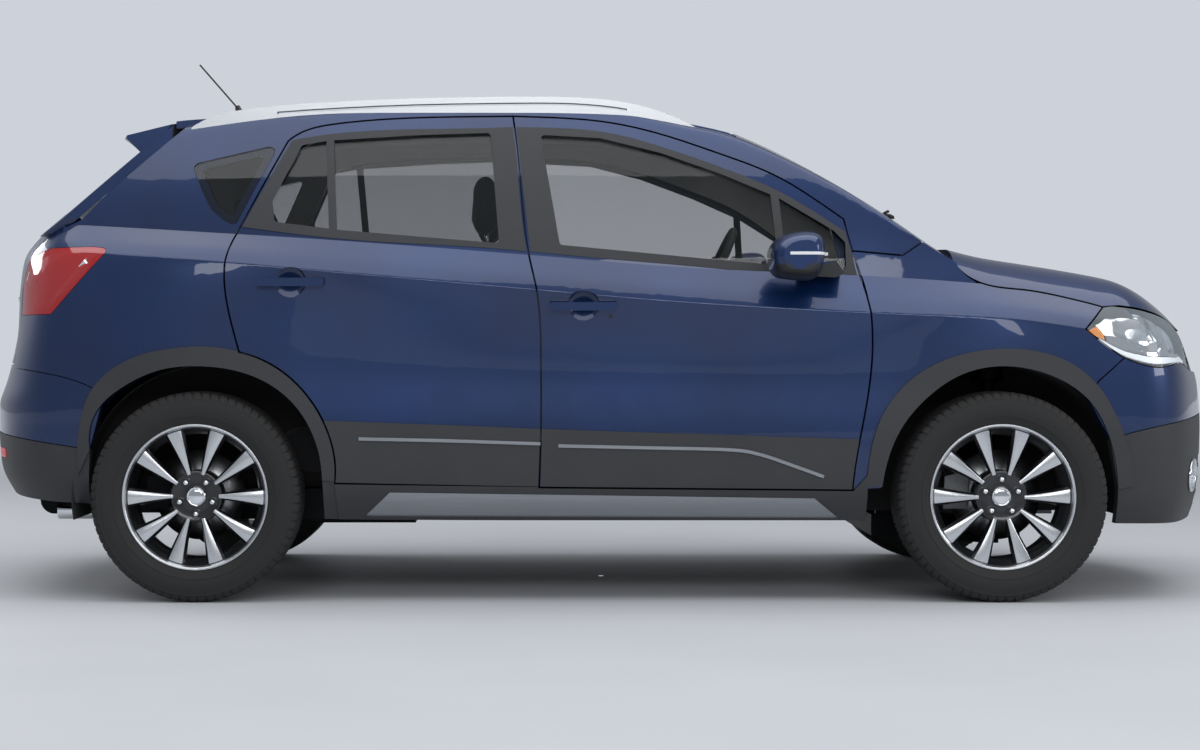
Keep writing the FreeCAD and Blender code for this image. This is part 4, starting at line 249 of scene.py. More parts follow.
def new_material(name, **sockets):
    """A material whose shader's sockets take the given values, with _ for a space. Gives back the material, its
    tree, the shader and the place on the object."""
    mat = bpy.data.materials.new(name)
    mat.use_nodes = True
    tree = mat.node_tree
    shader = tree.nodes["Principled BSDF"]
    plug(tree, shader, {key.replace("_", " "): value for key, value in sockets.items()})
    return mat, tree, shader, node(tree, "TexCoord", {}, "Object")


def pattern(tree, shader, share, tones=(), rough=(), relief=None):
    """A share of 0 to 1 runs the colour between two tones and the roughness between two values; relief is
    (share, strength, height in metres) of a bump."""
    if tones:
        plug(tree, shader, {"Base Color": node(tree, "ValToRGB", {"Fac": share}, tones=tones)})
    if rough:
        gloss = node(tree, "MapRange", {"Value": share, "To Min": rough[0], "To Max": rough[1]})
        plug(tree, shader, {"Roughness": gloss})
    if relief:
        height, strength, distance = relief
        raised = node(tree, "Bump", {"Height": height, "Strength": strength, "Distance": distance})
        plug(tree, shader, {"Normal": raised})


# %% [markdown]
# ### Body paint
# Metallic basecoat under clear lacquer: aluminium flakes lie flat in the blue, so the colour lightens where
# it faces the light and darkens at the turn, and the clear coat adds a sharp second reflection. Orange peel
# is the slight waviness of sprayed lacquer, a few millimetres across and a few microns high.

# %% Metallic paint with clear coat
def metallic_paint(name, low, high):
    """Flake cells times slow waves run the tone, and fine waves the orange peel."""
    mat, tree, shader, at = new_material(name, Metallic=0.50, Roughness=0.36, Coat_Weight=0.8,
                                         Coat_Roughness=0.025, Coat_IOR=1.5)
    flake = node(tree, "TexVoronoi", {"Vector": at, "Scale": 650.0})
    tone = node(tree, "TexNoise", {"Vector": at, "Scale": 2.2, "Detail": 2.0})
    speck = node(tree, "Math", {0: flake, 1: tone}, operation="MULTIPLY")
    peel = node(tree, "TexNoise", {"Vector": at, "Scale": 190.0, "Detail": 1.0})
    pattern(tree, shader, speck, (low, high), relief=(peel, 0.05, 0.0006))
    return mat


blue_paint = metallic_paint("blue_metallic_lacquer", "#011a40", "#033c7e")

# %% [markdown]
# ### Plastics
# The cladding is polypropylene from an etched mould: its leather grain, about a millimetre wide, scatters
# light so it looks dark grey and dry. Caps, housings and the grille are ABS, smooth and almost black. Cabin
# boards are moulded with a finer grain.

# %% Moulded plastics
def grained(name, low, high, rough, grain, depth):
    """A moulded surface: a cell grain of the given number per metre, with a slow change of tone."""
    mat, tree, shader, at = new_material(name, Roughness=rough)
    cells = node(tree, "TexVoronoi", {"Vector": at, "Scale": grain}, feature="SMOOTH_F1")
    dirt = node(tree, "TexNoise", {"Vector": at, "Scale": 5.0, "Detail": 4.0})
    pattern(tree, shader, dirt, (low, high), (rough - 0.07, rough + 0.07), (cells, 0.35, depth))
    return mat


cladding = grained("grained_polypropylene", "#26272a", "#34363a", 0.60, 620.0, 0.0005)
cabin_board = grained("moulded_cabin_board", "#1d1e20", "#2a2b2e", 0.62, 900.0, 0.0003)
seal_rubber = grained("extruded_seal_rubber", "#0d0d0e", "#17171a", 0.72, 1200.0, 0.0002)
liner_felt = grained("pressed_liner_felt", "#141415", "#202022", 0.9, 500.0, 0.0012)


def smooth_plastic(name, code, rough, coat=0.0):
    """One colour, with a thin film of dust that dulls it here and there."""
    mat, tree, shader, at = new_material(name, Base_Color=linear(code), Roughness=rough, Coat_Weight=coat,
                                         Coat_Roughness=0.04)
    dust = node(tree, "TexNoise", {"Vector": at, "Scale": 14.0, "Detail": 5.0, "Roughness": 0.6})
    pattern(tree, shader, dust, rough=(rough * 0.75, rough * 1.35))
    return mat


satin_black = smooth_plastic("satin_black_abs", "#17181a", 0.38)
lamp_shell = smooth_plastic("lamp_housing_black", "#101113", 0.22)

# %% [markdown]
# ### Metals
# Chrome plating is a mirror with a faint haze; the roof rails are anodised aluminium, satin and drawn
# along their length; the wheel faces are turned on a lathe, which leaves fine rings round the hub.

# %% Metals
def plated(name, code, rough):
    """One bright colour with a haze that comes and goes."""
    mat, tree, shader, at = new_material(name, Base_Color=linear(code), Metallic=1.0, Roughness=rough)
    haze = node(tree, "TexNoise", {"Vector": at, "Scale": 30.0, "Detail": 4.0})
    pattern(tree, shader, haze, rough=(rough * 0.6, rough * 1.6))
    return mat


chrome = plated("chrome_plate", "#dfe2e6", 0.07)
reflector = plated("aluminised_reflector", "#e6e8ea", 0.12)
mirror_glass = plated("silvered_mirror", "#dde3e8", 0.02)


def drawn(name, low, high, rough, scale):
    """Metal with fine lines along one axis: noise stretched by the mapping scale."""
    mat, tree, shader, at = new_material(name, Metallic=1.0, Roughness=rough)
    along = node(tree, "Mapping", {"Vector": at, "Scale": scale})
    line = node(tree, "TexNoise", {"Vector": along, "Scale": 1.0, "Detail": 2.0})
    pattern(tree, shader, line, (low, high), (rough - 0.06, rough + 0.08), (line, 0.08, 0.0002))
    return mat


rail_metal = drawn("satin_anodised_aluminium", "#a8abaf", "#cfd2d6", 0.32, (6.0, 900.0, 900.0))
cast_metal = drawn("rough_cast_aluminium", "#6c6e71", "#8d9093", 0.55, (120.0, 120.0, 120.0))
coated_steel = drawn("dip_coated_steel", "#141516", "#232427", 0.5, (60.0, 60.0, 60.0))


def turned(name, low, high, rough, rings):
    """Metal cut on a lathe: rings follow the V of the UV map, which is the radius in metres."""
    mat, tree, shader, _ = new_material(name, Metallic=1.0, Roughness=rough)
    across = node(tree, "TexCoord", {}, "UV")
    wave = node(tree, "TexWave", {"Vector": across, "Scale": rings, "Distortion": 0.4}, "Fac",
                bands_direction="Y")
    pattern(tree, shader, wave, (low, high), (rough - 0.04, rough + 0.06), (wave, 0.12, 0.0002))
    return mat


wheel_cut = turned("lathe_cut_alloy", "#b9bcc0", "#dcdfe3", 0.26, 130.0)
disc_steel = turned("turned_brake_iron", "#77797c", "#a3a5a8", 0.30, 90.0)
wheel_dark = metallic_paint("wheel_pocket_paint", "#141518", "#2e3036")

# %% [markdown]
# ### Rubber, glass and lenses
# A tyre's side is matt and slightly brown-grey from wax and dust. Window glass is green-grey float glass:
# it lets most light through, and shows a clear reflection that grows towards the edge. Its colour is thin,
# so it is drawn as a see-through dark layer with a strong gloss. Lamp lenses are clear or red acrylic.

# %% Rubber and see-through finishes
def moulded_rubber(name, low, high):
    """Wax and dust run the tone and the gloss, over a fine mould grain."""
    mat, tree, shader, at = new_material(name, Roughness=0.78)
    dust = node(tree, "TexNoise", {"Vector": at, "Scale": 9.0, "Detail": 6.0, "Roughness": 0.65})
    grain = node(tree, "TexNoise", {"Vector": at, "Scale": 420.0, "Detail": 3.0})
    pattern(tree, shader, dust, (low, high), (0.66, 0.88), (grain, 0.25, 0.0006))
    return mat


tyre_rubber = moulded_rubber("moulded_tyre_rubber", "#161617", "#262626")


def pane(name, code, see, rough=0.0, coat=0.0):
    """A thin clear sheet: alpha grows from see at the middle to nearly solid at a flat angle."""
    mat, tree, shader, at = new_material(name, Base_Color=linear(code), Roughness=rough, Specular_IOR_Level=1.0,
                                         Coat_Weight=coat, Coat_Roughness=0.01)
    edge = node(tree, "LayerWeight", {"Blend": 0.28}, "Facing")
    solid = node(tree, "MapRange", {"Value": edge, "To Min": see, "To Max": min(1.0, see + 0.55)})
    plug(tree, shader, {"Alpha": solid})
    dust = node(tree, "TexNoise", {"Vector": at, "Scale": 6.0, "Detail": 3.0})
    pattern(tree, shader, dust, rough=(rough + 0.005, rough + 0.03))
    return mat


window_glass = pane("tinted_float_glass", "#101a1c", 0.20)
privacy_glass = pane("tinted_rear_glass", "#0d1518", 0.30)
clear_lens = pane("clear_acrylic_lens", "#b9c6d0", 0.08)
red_lens = pane("red_acrylic_lens", "#b0040c", 0.80, 0.03, 0.6)

# %% [markdown]
# ### Cabin cloth
# Seat cloth is a plain weave of dark yarn about three millimetres across the pair, and the headlining a
# pale knit. The weave is two crossed waves on Object coordinates.

# %% Woven cloth
def woven(name, low, high, threads, depth):
    """Two crossed waves, multiplied, are the threads; slow waves are added to their tone."""
    mat, tree, shader, at = new_material(name, Roughness=0.9, Sheen_Weight=0.25, Sheen_Roughness=0.5)
    warp, weft = (node(tree, "TexWave", {"Vector": at, "Scale": threads, "Distortion": 0.6}, "Fac",
                       bands_direction=way) for way in "XZ")
    weave = node(tree, "Math", {0: warp, 1: weft}, operation="MULTIPLY")
    tone = node(tree, "TexNoise", {"Vector": at, "Scale": 12.0, "Detail": 4.0})
    both = node(tree, "Math", {0: weave, 1: tone}, operation="ADD")
    pattern(tree, shader, both, (low, high), relief=(weave, 0.5, depth))
    return mat


seat_cloth = woven("woven_seat_cloth", "#1b1c1f", "#3a3c40", 110.0, 0.0010)
seat_bolster = woven("bolster_cloth", "#141517", "#26272a", 160.0, 0.0006)
headlining = woven("knitted_headlining", "#a9a8a4", "#c9c8c3", 160.0, 0.0005)
print(len(bpy.data.materials), "materials")

# %% [markdown]
# ## Tyres
# A tyre is a closed ring. Its section is drawn once as radius against width: bead, bulging sidewall with two
# fine ribs, rounded shoulder, and a tread with four grooves round it. Cross grooves are then pressed into the
# shoulders by lowering the points where a repeating mask is 1, so the tread stays one surface.

# %% Tyre surface
wheel_centres = {
    ("front", "right"): (1.270, -0.768), ("front", "left"): (1.270, 0.768),
    ("rear", "right"): (-1.330, -0.768), ("rear", "left"): (-1.330, 0.768)}
tyre_radius = 0.339
groove_floor, groove_foot, groove_edge = 0.3315, 0.0036, 0.0048


def tyre_section():
    """From the tread's middle to the bead, and back along the open inner side, as (radius, width); mirrored."""
    outer = [(tyre_radius, 0.0)]
    for middle, ribs in ((0.0195, (0.034, 0.045)), (0.0585, ())):
        outer += [(tyre_radius, middle - groove_edge), (groove_floor, middle - groove_foot),
                  (groove_floor, middle + groove_foot), (tyre_radius, middle + groove_edge)]
        outer += [(tyre_radius, rib) for rib in ribs]
    outer += [(0.3388, 0.070), (0.3384, 0.078), (0.3372, 0.086), (0.3345, 0.0925), (0.3300, 0.0972),
              (0.3240, 0.1005), (0.3180, 0.1028), (0.3165, 0.1043), (0.3140, 0.1043), (0.3125, 0.1043),
              (0.3050, 0.1062), (0.2950, 0.1076), (0.2850, 0.1079), (0.2745, 0.1071), (0.2650, 0.1053),
              (0.2640, 0.1062), (0.2590, 0.1054), (0.2575, 0.1040), (0.2500, 0.1016), (0.2430, 0.0985),
              (0.2385, 0.0962), (0.2362, 0.0945)]
    inner = [(0.2357, 0.0857), (0.2216, 0.0857), (0.2216, 0.0720), (0.2440, 0.0790), (0.2711, 0.0950),
             (0.3000, 0.0960), (0.3235, 0.0850), (0.3240, 0.0)]
    half = np.array(outer + inner)
    mirror = half[::-1][1:-1] * (1, -1)
    return np.concatenate([half, mirror])


def tyre_grid(steps=720, blocks=72):
    """The section turned round the axle. Inside each cross groove the radius drops by 5.5 mm on the shoulders.
    On the ribs it drops by 4 mm, where the cuts are twice as many and lean the other way."""
    section = tyre_section()
    turn = np.linspace(0, 2 * np.pi, steps, endpoint=False)[:, None]
    r, a = section[:, 0][None], section[:, 1][None]
    count = turn * blocks / (2 * np.pi)
    cut = ((count + np.abs(a) * 9.0) % 1.0 < 0.22).astype(float)
    fine = ((count * 2 - np.abs(a) * 14.0) % 1.0 < 0.20).astype(float)
    shoulder = np.clip((np.abs(a) - 0.066) / 0.006, 0, 1) * (r > 0.322)
    middle = ((np.abs(a) > 0.024) & (np.abs(a) < 0.054) & (r > 0.335)).astype(float)
    r = r - 0.0055 * cut * shoulder - 0.004 * fine * middle
    return np.stack([r * np.cos(turn), a + 0 * turn, r * np.sin(turn)], -1), len(section)


def make_tyre(axle, side):
    """One tyre at its axle and side of the car, in place of the CAD one."""
    grid, count = tyre_grid()
    points = grid.reshape(-1, 3) + (*wheel_centres[axle, side], tyre_radius)
    quads = grid_quads(len(grid), count, True, True)[:, ::-1]
    return piece(f"moulded_tyre_{axle}_{side}", [(points, quads)], tyre_rubber, f"wheel_{axle}_{side}", 40,
                 replaces=[f"tyre_{axle}_{side}"])


tyres = [make_tyre(*key) for key in wheel_centres]
print("tyre faces", len(tyres[0].data.polygons))

# %% [markdown]
# ## Wheels
# The cast wheel has ten blades in five pairs, one pair round each wheel nut. A blade is narrow at the hub and
# flares to the rim; its face is turned bright on the lathe, and its sides, the hub and the barrel are painted
# black. Each blade is a loft of sections along the radius: a flat face, chamfers, and sides that fall to a
# narrower back. The rim and the brake disc are turned profiles.

# %% Blade, rim and disc surfaces
blade_face_y = 0.083
pair_half_angle_rim = math.radians(17.3)
pair_half_angle_root = math.radians(19.0)


def blade(turn_root, turn_rim):
    """A blade from radius 74 mm to 229 mm. Its centre line leans from one angle to the other, its half width
    grows as 5.8 mm plus 19 mm times the share s of the way out to the power 1.25, and its face dishes by
    11.5 mm times (1 - s) to the power 1.3. Gives back the cut face, the painted sides and the face's UV."""
    s = np.linspace(0, 1, 15)[:, None]
    radius = 0.074 + 0.155 * s
    angle = turn_root + (turn_rim - turn_root) * s
    half = 0.0058 + 0.0190 * s ** 1.25
    face = blade_face_y - 0.0115 * (1 - s) ** 1.3 - 0.004 * s ** 4
    centre = np.stack([radius * np.cos(angle), 0 * radius, radius * np.sin(angle)], -1)
    aside = np.stack([-np.sin(angle), 0 * angle, np.cos(angle)], -1)
    front_u = np.array([-1.0, -0.90, 0.90, 1.0])[None]
    front = centre + aside * (half * front_u)[..., None]
    front[..., 1] = face - 0.0012 * (np.abs(front_u) > 0.95)
    side_u = np.array([1.0, 1.22, 1.30, 0.85, -0.85, -1.30, -1.22, -1.0])[None]
    drop = np.array([0.0012, 0.010, 0.024, 0.036, 0.036, 0.024, 0.010, 0.0012])[None]
    grow = half * side_u + 0.0035 * np.sign(side_u) * (np.abs(side_u) > 1.05)
    back = centre + aside * grow[..., None]
    back[..., 1] = face - drop
    uv = np.stack([np.broadcast_to(angle, front.shape[:2]), np.broadcast_to(radius, front.shape[:2])], -1)
    return front, back, uv.reshape(-1, 2)


def lofted(grid, wrap=False):
    """Points and faces of a grid that is open along its rows."""
    return grid.reshape(-1, 3), grid_quads(grid.shape[0], grid.shape[1], False, wrap)


rim_profile = [(0.2354, 0.0950), (0.2354, 0.0868), (0.2222, 0.0862), (0.2212, 0.0560), (0.2120, 0.0440),
               (0.2040, 0.0200), (0.2040, -0.0180), (0.2150, -0.0450), (0.2212, -0.0600), (0.2222, -0.0862),
               (0.2354, -0.0868), (0.2354, -0.0950), (0.2190, -0.0950), (0.2150, -0.0800), (0.2110, -0.0480),
               (0.1975, -0.0200), (0.1975, 0.0200), (0.2050, 0.0440), (0.2155, 0.0600), (0.2175, 0.0760),
               (0.2215, 0.0845)]
lip_profile = [(0.2356, 0.0952), (0.2350, 0.0966), (0.2325, 0.0972), (0.2290, 0.0962), (0.2262, 0.0930),
               (0.2240, 0.0880), (0.2215, 0.0846), (0.2215, 0.0835), (0.2300, 0.0900)]
hub_profile = [(0.0, 0.0700), (0.030, 0.0700), (0.0335, 0.0690), (0.0345, 0.0650), (0.0400, 0.0640),
               (0.0700, 0.0650), (0.0790, 0.0690), (0.0830, 0.0660), (0.0850, 0.0560), (0.0800, 0.0330),
               (0.0560, 0.0290), (0.0, 0.0290)]
cap_profile = [(0.0, 0.0742), (0.0200, 0.0740), (0.0225, 0.0730), (0.0232, 0.0712), (0.0250, 0.0706),
               (0.0268, 0.0716), (0.0292, 0.0716), (0.0306, 0.0702), (0.0306, 0.0660), (0.0, 0.0660)]
disc_profile = [(0.146, -0.0315), (0.146, -0.0390), (0.139, -0.0392), (0.139, -0.0448), (0.146, -0.0450),
                (0.146, -0.0525), (0.086, -0.0525), (0.080, -0.0500), (0.072, -0.0440), (0.068, 0.0250),
                (0.030, 0.0280), (0.030, 0.0310), (0.072, 0.0310), (0.0765, 0.0280), (0.0785, -0.0270),
                (0.0850, -0.0315)]
nut_circle = 0.0560
nut_rings = [(0.0088, 0.052), (0.0092, 0.060), (0.0088, 0.0745), (0.0072, 0.0775), (0.0040, 0.0795),
             (0.0006, 0.0800)]
well_rings = [(0.0165, 0.0648), (0.0162, 0.0668), (0.0150, 0.0672), (0.0140, 0.0664), (0.0135, 0.0560),
              (0.0090, 0.0540)]


def oriented(part, side, centre):
    """Wheels are drawn with their face towards +Y; on the right side the face is turned towards -Y."""
    points, faces = np.array(part[0], float), np.asarray(part[1])
    if side == "right":
        points[..., 1] *= -1
        faces = faces[:, ::-1]
    return points + (*centre, tyre_radius), faces


def set_uv(obj, uv):
    """Writes one UV pair per vertex to the loops of the mesh."""
    layer = obj.data.uv_layers.new(name="follow")
    index = np.zeros(len(obj.data.loops), int)
    obj.data.loops.foreach_get("vertex_index", index)
    layer.data.foreach_set("uv", np.asarray(uv, float)[index].ravel())


def turned_uv(profile, steps):
    """UV of a turned piece: U is the turn in radians, V the radius in metres."""
    return np.stack([np.repeat(np.linspace(0, 6.28, steps), len(profile)),
                     np.tile(np.array(profile)[:, 0], steps)], -1)


def at_nut(rings, angle, steps, corner=0.0):
    """Rings of (radius, height) round a nut's place: radius times 1 + corner cos 6a, a soft hexagon."""
    a = np.linspace(0, 2 * np.pi, steps, endpoint=False)
    radius, height = np.array(rings).T[..., None]
    radius = radius * (1 + corner * np.cos(6 * a))
    grid = np.stack([radius * np.cos(a), height + 0 * a, radius * np.sin(a)], -1)
    return lofted(grid + (nut_circle * math.cos(angle), 0, nut_circle * math.sin(angle)), True)


def make_wheel(axle, side):
    """Casting, cut faces, cap with nuts, and brake disc; the pairs of front and rear wheels stand turned."""
    centre, body = wheel_centres[axle, side], f"wheel_{axle}_{side}"
    dark, bright, uv, nuts = [], [], [], []
    base = math.radians(90 if axle == "front" else 54)
    for k in range(5):
        middle = base + 2 * math.pi * k / 5
        for hand in (-1, 1):
            face, flanks, face_uv = blade(middle + hand * pair_half_angle_root,
                                          middle + hand * pair_half_angle_rim)
            bright.append(lofted(face))
            uv.append(face_uv)
            dark.append(lofted(flanks))
        nuts.append(at_nut(nut_rings, middle, 18, 0.06))
        dark.append(at_nut(well_rings, middle, 24))
    dark += [revolve(rim_profile, 120), revolve(hub_profile, 60)]
    bright.append(revolve(lip_profile, 160))
    uv.append(turned_uv(lip_profile, 160))
    dark, bright, cap, disc = ([oriented(part, side, centre) for part in parts] for parts in (
        dark, bright, [revolve(cap_profile, 48)] + nuts, [revolve(disc_profile, 96)]))
    casting = piece(f"wheel_casting_{axle}_{side}", dark, wheel_dark, body, 32, replaces=[f"rim_{axle}_{side}"])
    set_uv(piece(f"wheel_cut_faces_{axle}_{side}", bright, wheel_cut, body), np.concatenate(uv))
    piece(f"wheel_centre_cap_{axle}_{side}", cap, chrome, body, 35)
    set_uv(piece(f"brake_disc_{axle}_{side}", disc, disc_steel, body), turned_uv(disc_profile, 96))
    return casting


castings = [make_wheel(*key) for key in wheel_centres]
print("wheel casting faces", len(castings[0].data.polygons))

# %% [markdown]
# ## Finishes on the CAD panels
# The panels, glass and chassis of the CAD model keep their own shapes and only take a finish. Where one solid
# shows two finishes, as a door does with paint outside and a moulded board inside, a copy of it stands in: the
# copy's faces are sorted by where they lie and which way they face.

# %% Give each CAD node its material
def finish_nodes(material, *names):
    """Gives the named CAD nodes one material."""
    for name in names:
        data = nodes[name].data
        data.materials.clear()
        data.materials.append(material)


hands = (("right", -1.0), ("left", 1.0))  # each side's name, and its way out along Y
sides = ("right", "left")
ends = ("front", "rear")
finish_nodes(blue_paint, "front_wings", "front_bumper", "rear_bumper")
finish_nodes(cladding, "front_bumper_lower", "rear_bumper_lower", "side_trims", "cowl",
             *[f"{end}_door_trim_{s}" for end in ends for s in sides])
finish_nodes(window_glass, "windscreen", *[f"front_door_glass_{s}" for s in sides])
finish_nodes(privacy_glass, "quarter_glass", "tailgate_glass", *[f"rear_door_glass_{s}" for s in sides])
finish_nodes(rail_metal, "roof_rails")
finish_nodes(satin_black, "antenna", "grille")
finish_nodes(cabin_board, "dashboard", "steering_wheel")
finish_nodes(liner_felt, "front_wheel_liners", "rear_wheel_liners")
finish_nodes(cast_metal, "engine_block", *[f"front_knuckle_{s}" for s in sides])
finish_nodes(coated_steel, "front_suspension", "rear_axle", "underbody", "floor_pan", "front_frame")


def sorted_copy(name, node_name, body, materials, choose):
    """A merged copy of a CAD node; choose(centres, normals) gives each face the number of its material."""
    source = nodes[node_name].data
    loops = np.empty(len(source.loops) * 3)
    source.corner_normals.foreach_get("vector", loops)
    work = bmesh.new()
    work.from_mesh(source)
    bmesh.ops.remove_doubles(work, verts=work.verts, dist=1e-6)
    mesh = bpy.data.meshes.new(name)
    work.to_mesh(mesh)
    work.free()
    if len(mesh.loops) * 3 == len(loops):
        mesh.polygons.foreach_set("use_smooth", [True] * len(mesh.polygons))
        mesh.normals_split_custom_set(loops.reshape(-1, 3).tolist())
    centres, facing = np.empty(len(mesh.polygons) * 3), np.empty(len(mesh.polygons) * 3)
    mesh.polygons.foreach_get("center", centres)
    mesh.polygons.foreach_get("normal", facing)
    for material in materials:
        mesh.materials.append(material)
    chosen = choose(centres.reshape(-1, 3), facing.reshape(-1, 3))
    mesh.polygons.foreach_set("material_index", chosen.astype(int))
    obj = bpy.data.objects.new(name, mesh)
    bpy.context.scene.collection.objects.link(obj)
    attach(obj, body)
    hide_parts(node_name)
    return obj


board_over, sill_top, sill_rear, sill_front = 1.02, 0.50, -1.1, 0.90
mirror_foot_top, mirror_inner_y = 1.085, 0.90


def side_finish(c, n):
    """Inside, headlining over the belt and board under it; outside, cladding on the sill, else paint."""
    sill = (c[:, 2] < sill_top) & (c[:, 0] > sill_rear) & (c[:, 0] < sill_front)
    return np.where(n[:, 1] * out < -0.3, np.where(c[:, 2] > board_over, 2, 1), np.where(sill, 3, 0))


def mirror_finish(c, n):
    """Glass on the face that looks back, satin black on the foot, and paint on the shell."""
    glass = (n[:, 0] < -0.93) & (np.abs(c[:, 1]) > mirror_inner_y)
    return np.where(glass, 2, np.where(c[:, 2] < mirror_foot_top, 1, 0))


for s, out in hands:
    for end in ends:
        sorted_copy(f"{end}_door_skin_{s}", f"{end}_door_{s}", f"{end}_door_{s}", [blue_paint, cabin_board],
                    lambda c, n: n[:, 1] * out < -0.45)
    sorted_copy(f"body_side_skin_{s}", f"body_side_{s}", "body",
                [blue_paint, cabin_board, headlining, cladding], side_finish)
    sorted_copy(f"mirror_shell_{s}", f"door_mirror_{s}", f"front_door_{s}",
                [blue_paint, satin_black, mirror_glass], mirror_finish)
sorted_copy("roof_skin", "roof_panel", "body", [blue_paint, headlining], lambda c, n: n[:, 2] < -0.3)
sorted_copy("bonnet_skin", "bonnet", "bonnet", [blue_paint, liner_felt], lambda c, n: n[:, 2] < -0.5)
sorted_copy("tailgate_skin", "tailgate", "tailgate", [blue_paint, cabin_board], lambda c, n: n[:, 0] > 0.35)
print("CAD panels finished")

# %% [markdown]
# ## Seats
# The CAD seats are plain solids. In their place come foam cushions in cloth: each starts as a smooth outline
# carried across the car, drawn in at its two sides, raised along its bolsters and sunk at its seams. A short
# cloth simulation then inflates it a little, so the cloth bulges between the seams. How far a point may move
# is capped, and the seams are sunk afterwards so that they stay sharp.

# %% Cushion surfaces
seam_share = 0.62


def points_of(data):
    """The places of a mesh's vertices as an array of rows."""
    co = np.empty(len(data.vertices) * 3)
    data.vertices.foreach_get("co", co)
    return co.reshape(-1, 3)


def cushion_form(outline_mm, middle_y, half, facing, stations, bolster=0.0, crown=0.0, steps=12):
    """Loop of outline points, shrunk towards its centre near both ends: P = C + k(t) (L - C), y = ym + half t.
    k(t) = 1 - 0.16 (1 - sqrt(1 - q^2)), where q grows from 0 to 1 over the last quarter of the width.
    The side that faces the sitter rises by crown (1 - (t/0.6)^2) in the middle and by bolster at |t| = 0.8.
    The outline is moved back by 30 mm, and three shrinking rings close each end."""
    loop = smooth_path(np.array(outline_mm) / 1000.0 + (-0.03, 0.0), steps, closed=True)
    centre = loop.mean(0)
    ahead = np.roll(loop, -1, 0) - np.roll(loop, 1, 0)
    normal = np.stack([ahead[:, 1], -ahead[:, 0]], -1)
    normal /= np.linalg.norm(normal, axis=1, keepdims=True)
    if ((loop - centre) * normal).sum() < 0:
        normal = -normal
    weight = np.clip(normal @ np.array(facing), 0, 1)[None] ** 2
    t = np.linspace(-1, 1, stations)[:, None]
    q = np.clip((np.abs(t) - 0.75) / 0.25, 0, 1)
    k = 1 - 0.16 * (1 - np.sqrt(1 - q ** 2))
    rise = crown * np.clip(1 - (t / 0.6) ** 2, 0, 1) + bolster * np.exp(-((np.abs(t) - 0.8) / 0.13) ** 2)
    flat = centre + k[..., None] * (loop - centre)[None] + normal[None] * (rise * weight)[..., None]
    y = middle_y + half * np.broadcast_to(t, flat.shape[:2])
    grid = np.stack([flat[..., 0], y, flat[..., 1]], -1)

    def end_ring(end, out, share, bulge):
        """A ring past one end, shrunk to the share and set out by the bulge."""
        x, y, z = grid[end].T
        return np.stack([centre[0] + share * (x - centre[0]), y + out * bulge,
                         centre[1] + share * (z - centre[1])], -1)

    low, high = ([end_ring(end, out, *ring_of) for ring_of in ((0.8, 0.004), (0.45, 0.007), (0.02, 0.008))]
                 for end, out in ((0, -1.0), (-1, 1.0)))
    grid = np.concatenate([np.array(low[::-1]), grid, np.array(high)])
    return grid, weight[0], np.concatenate([[-1.0] * 3, t[:, 0], [1.0] * 3])


def inflate(obj, cap):
    """A Cloth pass with pressure and no gravity; no point moves further than the cap."""
    start = points_of(obj.data)
    cloth = obj.modifiers.new("fill", "CLOTH")
    cloth.settings.use_pressure = True
    cloth.settings.uniform_pressure_force = 4.0
    cloth.settings.effector_weights.gravity = 0.0
    cloth.point_cache.frame_end = 20
    for frame_number in range(1, 16):
        bpy.context.scene.frame_set(frame_number)
    shift = points_of(obj.evaluated_get(bpy.context.evaluated_depsgraph_get()).to_mesh()) - start
    obj.modifiers.remove(cloth)
    bpy.context.scene.frame_set(1)
    size = np.maximum(np.linalg.norm(shift, axis=1, keepdims=True), 1e-9)
    return start + shift * np.minimum(1.0, cap / size)


def cushion(name, outline_mm, middle_y, half, facing, stations, replaces=(), bolster=0.0, crown=0.0, channels=0,
            cap=0.012, run=None):
    """A finished cushion: form, inflation, then the seams at 0.62 of its half width sunk by 6 mm, and its sewn
    channels by 5 mm, along the normals. The cloth beyond the seams is the bolsters' own."""
    grid, weight, t = cushion_form(outline_mm, middle_y, half, facing, stations, bolster, crown)
    rows, columns = grid.shape[:2]
    tips = [list(range(columns)), list(range((rows - 1) * columns, rows * columns))[::-1]]
    quads = grid_quads(rows, columns, False, True).tolist()
    obj = piece(name, [(grid, quads + tips)], seat_cloth, "body", replaces=replaces)
    obj.data.materials.append(seat_bolster)
    work = bmesh.new()
    work.from_mesh(obj.data)
    bmesh.ops.recalc_face_normals(work, faces=work.faces)
    work.to_mesh(obj.data)
    work.free()
    co = inflate(obj, cap)
    obj.data.vertices.foreach_set("co", co.ravel())
    obj.data.update()
    normals = np.empty(len(co) * 3)
    obj.data.vertices.foreach_get("normal", normals)
    across = np.abs(np.repeat(t, columns))
    seam = 0.006 * np.exp(-((across - seam_share) / 0.025) ** 2)
    if channels:
        along = co @ np.array(run)
        span = (along - along.min()) / (along.max() - along.min())
        groove = np.abs((span * channels) % 1.0 - 0.5)
        seam += 0.005 * np.exp(-((groove - 0.5) / 0.07) ** 2) * (across < 0.60) * np.tile(weight, rows)
    obj.data.vertices.foreach_set("co", (co - normals.reshape(-1, 3) * seam[:, None]).ravel())
    obj.data.update()
    sides_of = np.abs(np.repeat((t[1:] + t[:-1]) / 2, columns)) > seam_share
    obj.data.polygons.foreach_set("material_index", np.concatenate([sides_of, [True, True]]).astype(int))
    return obj


def mirrored_copy(obj, name):
    """The same cushion on the car's other side, turned the right way out again."""
    mesh = obj.data.copy()
    mesh.vertices.foreach_set("co", (points_of(mesh) * (1, -1, 1)).ravel())
    mesh.flip_normals()
    twin = bpy.data.objects.new(name, mesh)
    bpy.context.scene.collection.objects.link(twin)
    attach(twin, "body")
    return twin


